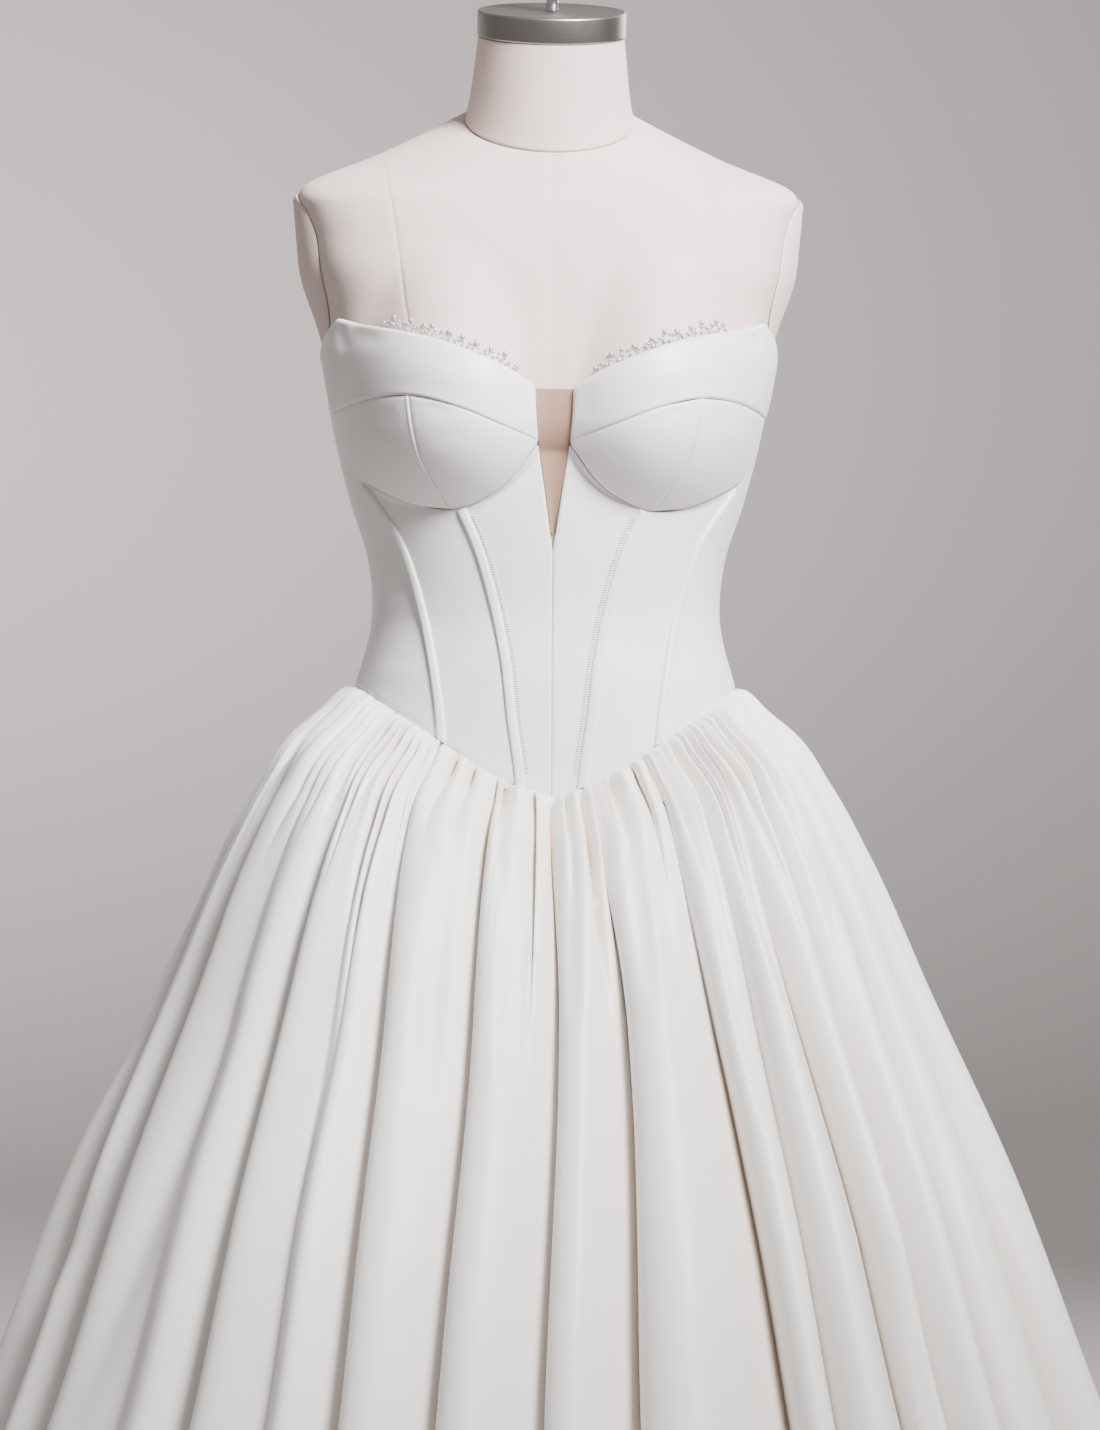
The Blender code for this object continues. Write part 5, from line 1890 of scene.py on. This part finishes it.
    def gather_sink(self, phase: Array, share: Array) -> tuple[Array, Array, Array]:
        """Pleats between the folds, each valley with its own place, depth and length.

        Between two valleys a pleat rises as a sine to crest_power, skewed to one side,
        and a narrow bell deepens both valleys. They fade down the skirt, each over its
        own length.

        Args:
            phase: fold phase of each place.
            share: share of the drop of each place.

        Returns:
            How far each place sinks, its crest from 0 to 1, and its sideways lean.
        """
        facts = self.valley_facts()
        place = phase * self.gathers_per_fold
        moved = ease(share / self.pleats_drift_by)

        def knot(number: Array) -> Array:
            """Where a valley lies at this share."""
            return number + facts["place"][number] + moved * facts["drift"][number]

        nearest = np.rint(place).astype(int)
        low = np.where(place >= knot(nearest), nearest, nearest - 1)
        turn = np.clip((place - knot(low)) / (knot(low + 1) - knot(low)), 0, 1)

        def valley(number: Array) -> Array:
            """Depth of a valley at this share."""
            return facts["strength"][number] * read_table(
                share / facts["length"][number], self.gather_depths)

        skewed = turn ** np.exp(facts["skew"][low])
        crest = np.sin(math.pi * skewed) ** self.crest_power
        slit = self.gather_slit_share * np.exp(
            -(np.minimum(turn, 1 - turn) / self.gather_slit) ** 2)
        sunk = ((1 - turn) * valley(low) + turn * valley(low + 1)) * (1 - crest + slit)
        lean = (1 - turn) * facts["lean"][low] + turn * facts["lean"][low + 1]
        return sunk, crest, lean * sunk

    def pucker(self, phase: Array, share: Array) -> Array:
        """Close small puckers right under the seam, from the gathering thread.

        Each is a rounded ridge beside a narrow valley. Its depth falls off as a bell down
        the skirt, over its own few millimetres.

        Args:
            phase: fold phase of each place.
            share: share of the drop of each place.

        Returns:
            How far each place sinks.
        """
        generator = np.random.default_rng(self.seed + 5)
        per_fold = self.gathers_per_fold * self.puckers_per_gather
        count = per_fold * (len(self.folds) - 1)
        own = np.arange(count) % per_fold == 0
        shift = np.where(own, 0.0, generator.uniform(-0.33, 0.33, count))
        depth = generator.uniform(0.5, 1.25, count)
        length = np.exp(generator.uniform(math.log(0.006), math.log(0.03), count))
        shift, depth, length = (np.append(v, v[:2]) for v in (shift, depth, length))
        place = phase * per_fold
        nearest = np.rint(place).astype(int)
        low = np.where(place >= nearest + shift[nearest], nearest, nearest - 1)
        start, stop = low + shift[low], low + 1 + shift[low + 1]
        turn = np.clip((place - start) / (stop - start), 0, 1)
        first = depth[low] * np.exp(-(share / length[low]) ** 2)
        second = depth[low + 1] * np.exp(-(share / length[low + 1]) ** 2)
        ridge = np.sin(math.pi * turn) ** self.pucker_power
        least = self.pucker_start
        fade_in = least + (1 - least) * ease(share / self.pucker_full_by)
        return self.pucker_depth * fade_in * ((1 - turn) * first + turn * second) * (1 - ridge)

    def surface(self, phase: Array, share: Array) -> tuple[Array, Array, Array]:
        """Outer points, inner points, and the fold depth that sets the painted fold shade, of a
        grid of places.

        The seam point on the figure is moved straight out by the outline at that drop,
        less the folds, gathers, puckers and creases, and down by the share of the drop.
        Right under the seam each gather puffs up by a hump, highest at puff_at.

        Args:
            phase: fold phase of each column.
            share: share of the drop of each row.

        Returns:
            The outer grid, the inner grid, and how deep in a fold each place is, which sets the
            satin's painted fold shade.
        """
        share, phase = np.meshgrid(share, phase, indexing="ij")
        drop = share * self.side_drop
        out = read_table(drop, self.outline)
        step = 0.002
        slope = (read_table(drop + step, self.outline) - out) / step
        angle = self.angles(phase, share)
        top = Seams.waist_height(self.angles(phase, np.zeros_like(share)))
        height = top + share * (self.hem_height - top)
        seam = FIGURE.at(angle, Seams.waist_height(angle), 0.0)
        fold, valley = self.fold_sink(phase, share)
        gather, crest, sideways = self.gather_sink(phase, share)
        pucker = self.pucker(phase, share)
        radius = np.hypot(seam[..., 0], seam[..., 1]) + out
        crease = self.crease_depth(angle, height, radius) * ease(share / self.creases_by)
        lean = self.column("lean")
        low, high, turn = self.beside(phase)
        fold_lean = (1 - turn) * lean[low] + turn * lean[high]
        reach = (Layers.panel - self.under_panel + out - fold - gather - crease - pucker
                 + self.seam_lift * ease(share / self.seam_lift_by))
        formed = ease(share / self.folds_form_by)
        side_shift = fold_lean * fold * formed + sideways
        hump = share / self.puff_at
        height = height + self.puff * crest * hump * np.exp(1 - hump)
        towards = np.stack([np.sin(angle), -np.cos(angle)], axis=-1)
        beside = np.stack([np.cos(angle), np.sin(angle)], axis=-1)
        plan = seam[..., :2] + reach[..., None] * towards + side_shift[..., None] * beside
        outer = np.concatenate([plan, height[..., None]], axis=-1)
        steep = np.arctan(slope)
        inner = outer.copy()
        inner[..., :2] -= (self.wall * np.cos(steep))[..., None] * towards
        inner[..., 2] -= self.wall * np.sin(steep)
        # How deep each place lies in a fold, gather or pucker, from 0 to 1, for the satin's
        # painted shade.
        painted_fold_shade = valley * formed + gather / self.full_tint[0] + pucker / self.full_tint[1]
        return outer, inner, np.clip(painted_fold_shade, 0, 1)

    def rows(self) -> Array:
        """Row shares, closest at the waist seam."""
        knots, values = zip(*self.row_knots)
        return read_smoothly(np.arange(knots[-1] + 1), knots, values)

    def build(self) -> None:
        """Build the seven panels."""
        steps = self.gathers_per_fold * self.columns_per_gather
        for name, first, last in self.panels:
            phase = np.arange(first * steps, last * steps + 1) / steps
            outer, inner, painted_fold_shade = self.surface(phase, self.rows())
            Sheet(name, Side.RIGHT, moved_in(outer, self.gap), moved_in(inner, self.gap),
                  outer, ("centre_front_panel_right", "side_panel_right"), held="gathered",
                  fold=painted_fold_shade, measured=outer).put()


def leaning(lean: float, turns: Array) -> tuple[Array, Array]:
    """An axis that leans forwards, and a circle of radius 1 about it.

    Args:
        lean: the axis's angle from upright.
        turns: angles round the circle, from the front.

    Returns:
        The axis's direction, and a point of the circle for each turn.
    """
    axis = np.array([0.0, -math.sin(lean), math.cos(lean)])
    circle = np.stack([np.sin(turns), -np.cos(turns) * math.cos(lean),
                       -np.cos(turns) * math.sin(lean)], axis=-1)
    return axis, circle


@dataclass
class DressForm:
    """The limbless form: torso, neck and arm plates under a linen cover."""

    bottom: float = 0.8
    top: float = 1.4083
    neck_seam: float = 1.409
    seam_tuck: float = 0.0012
    widest_share: float = 0.985
    seam_fade: float = 0.012
    princess: SeamLine = SeamLine(((0.096, 1.15), (0.1, 1.256), (0.102, 1.268),
                                   (0.106, 1.3), (0.111, 1.34), (0.115, 1.365),
                                   (0.118, 1.385)))
    groove: float = 0.0006
    groove_width: float = 0.0011
    plate_centre: tuple[float, float] = (0.01, 1.2985)
    plate_radii: tuple[float, float] = (0.042, 0.058)
    plate_rise: float = 0.0105
    plate_edge: float = 0.0012
    plate_clear: tuple[float, float] = (0.0006, 0.0005)
    cap_centre: tuple[float, float, float] = (0.0, -0.0195, 1.475)
    cap_radius: float = 0.0525
    cap_height: float = 0.0185
    under_cap: float = 0.0003
    inside_cap: float = 0.0008
    lean: float = math.radians(16.5)
    neck_rows: Points = ((0.0, 0.0), (0.12, 0.0008), (0.35, 0.0012), (0.65, 0.0008), (1.0, 0.0))

    def seam_angles(self, height: Array) -> list[Array]:
        """Angles of the form's seams at a height, once round from the front.

        Args:
            height: heights of the rings.

        Returns:
            The centre, princess and side seams' angles, nine with the first one again.
        """
        x = self.princess.x_at(height)
        share = np.clip(x / FIGURE.size(height, "half_width"), 0, self.widest_share)
        front = np.arcsin(share ** (FIGURE.size(height, "square") / 2))
        side = np.full_like(height, math.pi / 2)
        zero = np.zeros_like(height)
        return [zero, front, side, math.pi - front, zero + math.pi, math.pi + front,
                side + math.pi, TURN - front, zero + TURN]

    def torso(self) -> None:
        """The torso: rings whose columns run along the seams, grooved at each seam."""
        rows = np.concatenate([np.linspace(self.bottom, 1.2, 40),
                               np.linspace(1.206, self.top, 70)])
        one = crowded(16, 0.07)[:-1]
        share = np.concatenate([one + k for k in range(8)])
        whole, part = np.floor(share).astype(int), share - np.floor(share)
        lines = np.stack(self.seam_angles(rows), axis=-1)
        angle = lines[:, whole] * (1 - part) + lines[:, whole + 1] * part
        height = np.broadcast_to(rows[:, None], angle.shape)
        plain = FIGURE.at(angle, height, 0.0, FORM_BUST)
        gap = np.minimum(part, 1 - part)[None] * (lines[:, whole + 1] - lines[:, whole])
        away = gap * np.hypot(plain[..., 0], plain[..., 1])
        over = (FIGURE.size(rows, "half_width") * self.widest_share
                - self.princess.x_at(rows))[:, None]
        princess = (np.rint(share).astype(int) % 2 == 1)[None]
        fade = np.where(princess, ease(over / self.seam_fade), 1.0)
        sunk = self.groove * fade * np.exp(-(away / self.groove_width) ** 2)
        sunk = sunk + self.seam_tuck * np.clip(1 - (self.top - height) / 0.002, 0, 1) ** 2
        points = FIGURE.at(angle, height, -sunk, FORM_BUST)
        self.cover("form_torso_cover", "form_torso", points, (0.45, 0.62))

    def cover(self, name: str, node: str, rings: Array, spans: tuple[float, float]) -> None:
        """Close rings into a padded body under linen, which stands for a solid.

        Args:
            name: the piece's name.
            node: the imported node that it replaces.
            rings: points, by ring and place round it.
            spans: metres round and along that its UV map spans.
        """
        item = put_rings(name, rings, spans)
        settle(item, LINEN, node)

    def neck(self) -> None:
        """The neck: rings blended from the slanted seam to the cap's level circle."""
        around = np.linspace(0, TURN, 120, endpoint=False)
        low = FIGURE.at(around, self.neck_seam, 0.0, FORM_BUST)
        low[:, 2] += 0.0002
        axis, circle = leaning(self.lean, around)
        foot = np.array(self.cap_centre) - axis * (self.cap_height / 2 + self.under_cap)
        high = foot + (self.cap_radius - self.inside_cap) * circle
        shares = crowded(44, 0.05)
        waist = read_table(shares, self.neck_rows)
        rings = (1 - shares)[:, None, None] * low + shares[:, None, None] * high
        outward = rings - rings.mean(axis=1, keepdims=True)
        outward /= np.linalg.norm(outward, axis=-1, keepdims=True)
        turned = self.seam_tuck * np.clip(1 - shares / 0.03, 0, 1) ** 2
        rings = rings - (waist + turned)[:, None, None] * outward
        self.cover("form_neck_cover", "form_neck", rings, (0.16, 0.08))

    def plates(self) -> None:
        """Rounded plates over the armholes, domed as one less the share squared."""
        turns = np.linspace(0, TURN, 72, endpoint=False)
        shares = np.array([0.15, 0.35, 0.55, 0.7, 0.82, 0.9, 0.96, 0.99, 1.0])[:, None]
        y = self.plate_centre[0] + shares * self.plate_radii[0] * np.cos(turns)[None]
        z = self.plate_centre[1] + shares * self.plate_radii[1] * np.sin(turns)[None]
        depth = np.where(y < 0, FIGURE.size(z, "front"), FIGURE.size(z, "back"))
        square = FIGURE.size(z, "square")
        side = FIGURE.size(z, "half_width") * (1 - (np.abs(y) / depth) ** square) ** (1 / square)
        clear = self.plate_clear[0] + self.plate_clear[1] * (1 - shares**2)
        inner = np.stack([side + clear, y, z], axis=-1)
        rise = self.plate_edge + self.plate_rise * (1 - shares**2) ** 0.8
        outer = np.stack([side + clear + rise, y, z], axis=-1)
        rings = np.concatenate([inner, outer[::-1]])
        for half in Side:
            placed = rings * half.mirror
            if half is Side.LEFT:
                placed = placed[:, ::-1]
            self.cover("arm_plate_cover" + half.label, "arm_plate" + half.label, placed,
                       (0.16, 0.1))

    def build(self) -> None:
        """Build the form's covered parts."""
        self.torso()
        self.neck()
        self.plates()


@dataclass
class Turned:
    """A turned piece: a profile of (height, radius) carried round a leaning axis."""

    name: str
    foot: Array
    lean: float
    profile: Points
    finish: Finish
    around: int = 96
    rounding: float = 0.0008

    def rounded(self) -> Array:
        """The profile with each inner corner replaced by four points of an arc.

        Returns:
            The rounded profile.
        """
        line = np.asarray(self.profile, float)
        out = [line[0]]
        for before, corner, after in zip(line[:-2], line[1:-1], line[2:]):
            back, ahead = before - corner, after - corner
            reach = min(self.rounding, 0.45 * np.linalg.norm(back), 0.45 * np.linalg.norm(ahead))
            start = corner + reach * back / np.linalg.norm(back)
            end = corner + reach * ahead / np.linalg.norm(ahead)
            for t in (0.0, 0.33, 0.67, 1.0):
                out.append((1 - t) ** 2 * start + 2 * t * (1 - t) * corner + t**2 * end)
        return np.array([*out, line[-1]])

    def build(self) -> None:
        """Carry the profile round the axis."""
        profile = self.rounded()
        turns = np.linspace(0, TURN, self.around, endpoint=False)
        axis, circle = leaning(self.lean, turns)
        rings = (self.foot + profile[:, :1, None] * axis
                 + profile[:, 1:, None] * circle[None])
        item = put_rings(self.name + "_metal", rings, (profile[:, 1].max() * math.pi,
                                                       float(np.ptp(profile[:, 0]))))
        settle(item, self.finish, self.name)


@dataclass
class Stand:
    """The metal parts: neck cap, stud and rod above, pole and base under the skirt."""

    form: DressForm = field(default_factory=DressForm)
    gap: float = 0.0003
    cap_lip: float = 0.0012
    stud: tuple[float, float] = (0.008, 0.0044)
    rod: tuple[float, float] = (0.05, 0.0103)
    pole_radius: float = 0.016
    base: tuple[float, float] = (0.014, 0.19)

    def build(self) -> None:
        """Build the five turned pieces, each a profile of (height, radius)."""
        lean = self.form.lean
        axis = leaning(lean, np.zeros(1))[0]
        height, radius, lip = self.form.cap_height, self.form.cap_radius, self.cap_lip
        cap_foot = np.array(self.form.cap_centre) - axis * height / 2
        stud_foot = cap_foot + axis * (height + self.gap)
        rod_foot = stud_foot + axis * (self.stud[0] + self.gap)
        rod, wide_rod = self.rod
        base, wide_base = self.base
        ground = np.zeros(3)
        pole = self.form.bottom - base - 2 * self.gap
        for piece in (
            Turned("neck_cap", cap_foot, lean,
                   ((0, radius - lip), (lip, radius), (height - lip, radius),
                    (height, radius - lip), (height - lip / 2, radius - 0.004),
                    (height - lip / 2, 0.01)), STEEL),
            Turned("cap_stud", stud_foot, lean,
                   ((0, self.stud[1]), (self.stud[0], self.stud[1])), CHROME, 48),
            Turned("cap_rod", rod_foot, lean,
                   ((0, wide_rod - 0.001), (0.001, wide_rod), (rod - 0.004, wide_rod),
                    (rod, wide_rod - 0.004)), CHROME, 64),
            Turned("stand_base", ground, 0.0,
                   ((0, wide_base - 0.002), (0.0015, wide_base), (base - 0.004, wide_base),
                    (base, wide_base - 0.004), (base, 0.03)), PAINT, 120, 0.002),
            Turned("stand_pole", ground + [0, 0, base + self.gap], 0.0,
                   ((0, self.pole_radius), (pole, self.pole_radius)), PAINT, 64),
        ):
            piece.build()


@dataclass
class Studio:
    """Camera at the photograph's angle, plain pale floor and soft lights."""

    distance: float = 2.7
    aim_height: float = 0.9876
    metres_per_pixel: float = 0.00071
    picture: tuple[int, int] = (1100, 1430)
    yaw: float = math.radians(-2.5)
    roll: float = math.radians(0.45)
    shift: float = 5.0
    sensor: float = 36.0
    floor_flat: float = 5.2
    floor_reach: float = 16.0
    floor_rise: float = 9.0
    floor_colour: Colour = (0.74, 0.7, 0.685)

    def camera(self) -> None:
        """Place the camera, with the long side of its sensor upright."""
        data = bpy.data.cameras.new("photo_camera")
        item = bpy.data.objects.new("photo_camera", data)
        bpy.context.scene.collection.objects.link(item)
        aim = Vector((0.0, 0.0, self.aim_height))
        eye = aim + self.distance * Vector((math.sin(self.yaw), -math.cos(self.yaw), 0.0))
        turn = (aim - eye).to_track_quat("-Z", "Y").to_matrix().to_4x4()
        item.matrix_world = Matrix.Translation(eye) @ turn @ Matrix.Rotation(self.roll, 4, "Z")
        data.sensor_fit = "AUTO"
        data.sensor_width = self.sensor
        data.lens = self.sensor * self.distance / self.metres_per_pixel / self.picture[1]
        data.shift_x = self.shift / self.picture[1]
        bpy.context.scene.camera = item

    def light(self, name: str, place: tuple[float, float, float], size: float,
              power: float, colour: Colour,
              aim: tuple[float, float, float] = (0.0, 0.0, 0.95),
              spread: float = math.pi) -> None:
        """A square soft light aimed at a point, the bodice unless told otherwise.

        Args:
            name: the light's name.
            place: where it hangs.
            size: its side.
            power: its watts.
            colour: its colour.
            aim: the point that it faces.
            spread: angle over which its light spreads.
        """
        data = bpy.data.lights.new(name, "AREA")
        data.size, data.energy, data.color, data.spread = size, power, colour, spread
        item = bpy.data.objects.new(name, data)
        bpy.context.scene.collection.objects.link(item)
        towards = Vector(aim) - Vector(place)
        item.matrix_world = (Matrix.Translation(place)
                             @ towards.to_track_quat("-Z", "Y").to_matrix().to_4x4())

    def floor(self) -> None:
        """A pale floor that sweeps up all round, as the square of the way past its flat part."""
        count, around = 60, 96
        radius = np.linspace(self.floor_flat, self.floor_reach, count)
        turns = np.linspace(0, TURN, around, endpoint=False)
        past = (radius - self.floor_flat) / (self.floor_reach - self.floor_flat)
        plan = radius[:, None, None] * np.stack([np.cos(turns), np.sin(turns)], -1)[None]
        height = np.broadcast_to((self.floor_rise * past**2)[:, None, None],
                                 (*plan.shape[:2], 1))
        rings = np.concatenate([plan, height], axis=-1).reshape(-1, 3)
        quads = ring_faces(count, around)
        index = np.arange(around)
        fan = np.stack([np.full(around, len(rings)), index, np.roll(index, -1)], axis=-1)
        faces = np.concatenate([quads[:, [2, 1, 0]], quads[:, [3, 2, 0]], fan])
        item = put_mesh("studio_floor", np.concatenate([rings, [[0.0, 0.0, 0.0]]]), faces)
        material = bpy.data.materials.new("pale_floor")
        material.use_nodes = True
        shader = material.node_tree.nodes["Principled BSDF"]
        shader.inputs["Base Color"].default_value = opaque(self.floor_colour)
        shader.inputs["Roughness"].default_value = 0.9
        item.data.materials.append(material)

    def build(self) -> None:
        """Set up the camera, floor, lights and world."""
        self.camera()
        self.floor()
        self.light("key_light", (1.15, -1.8, 2.75), 0.9, 35.0, (1.0, 0.985, 0.99),
                   (-0.05, 0.0, 1.36), math.radians(56))
        self.light("back_light", (1.6, 2.6, 2.4), 1.8, 60.0, (1.0, 0.99, 0.985))
        self.light("wall_light", (-1.5, 6.5, 5.5), 3.0, 330.0, (1.0, 0.985, 0.975),
                   (-4.0, 13.0, 3.5))
        world = bpy.data.worlds.new("pale_studio")
        bpy.context.scene.world = world
        world.use_nodes = True
        background = world.node_tree.nodes["Background"]
        background.inputs["Color"].default_value = (1.0, 0.97, 0.955, 1.0)
        background.inputs["Strength"].default_value = 0.4


def main() -> None:
    """Build the dress, its form and the studio, in order."""
    logging.basicConfig(level=logging.INFO, format="%(name)s: %(message)s")
    Studio().build()
    for part in (DressForm(), Stand(), Bodice(), Cups(), Channels(), PlungeInsert(),
                 PearlTrim(), Skirt()):
        LOG.info("building %s", type(part).__name__)
        part.build()


if __name__ == "__main__":
    main()
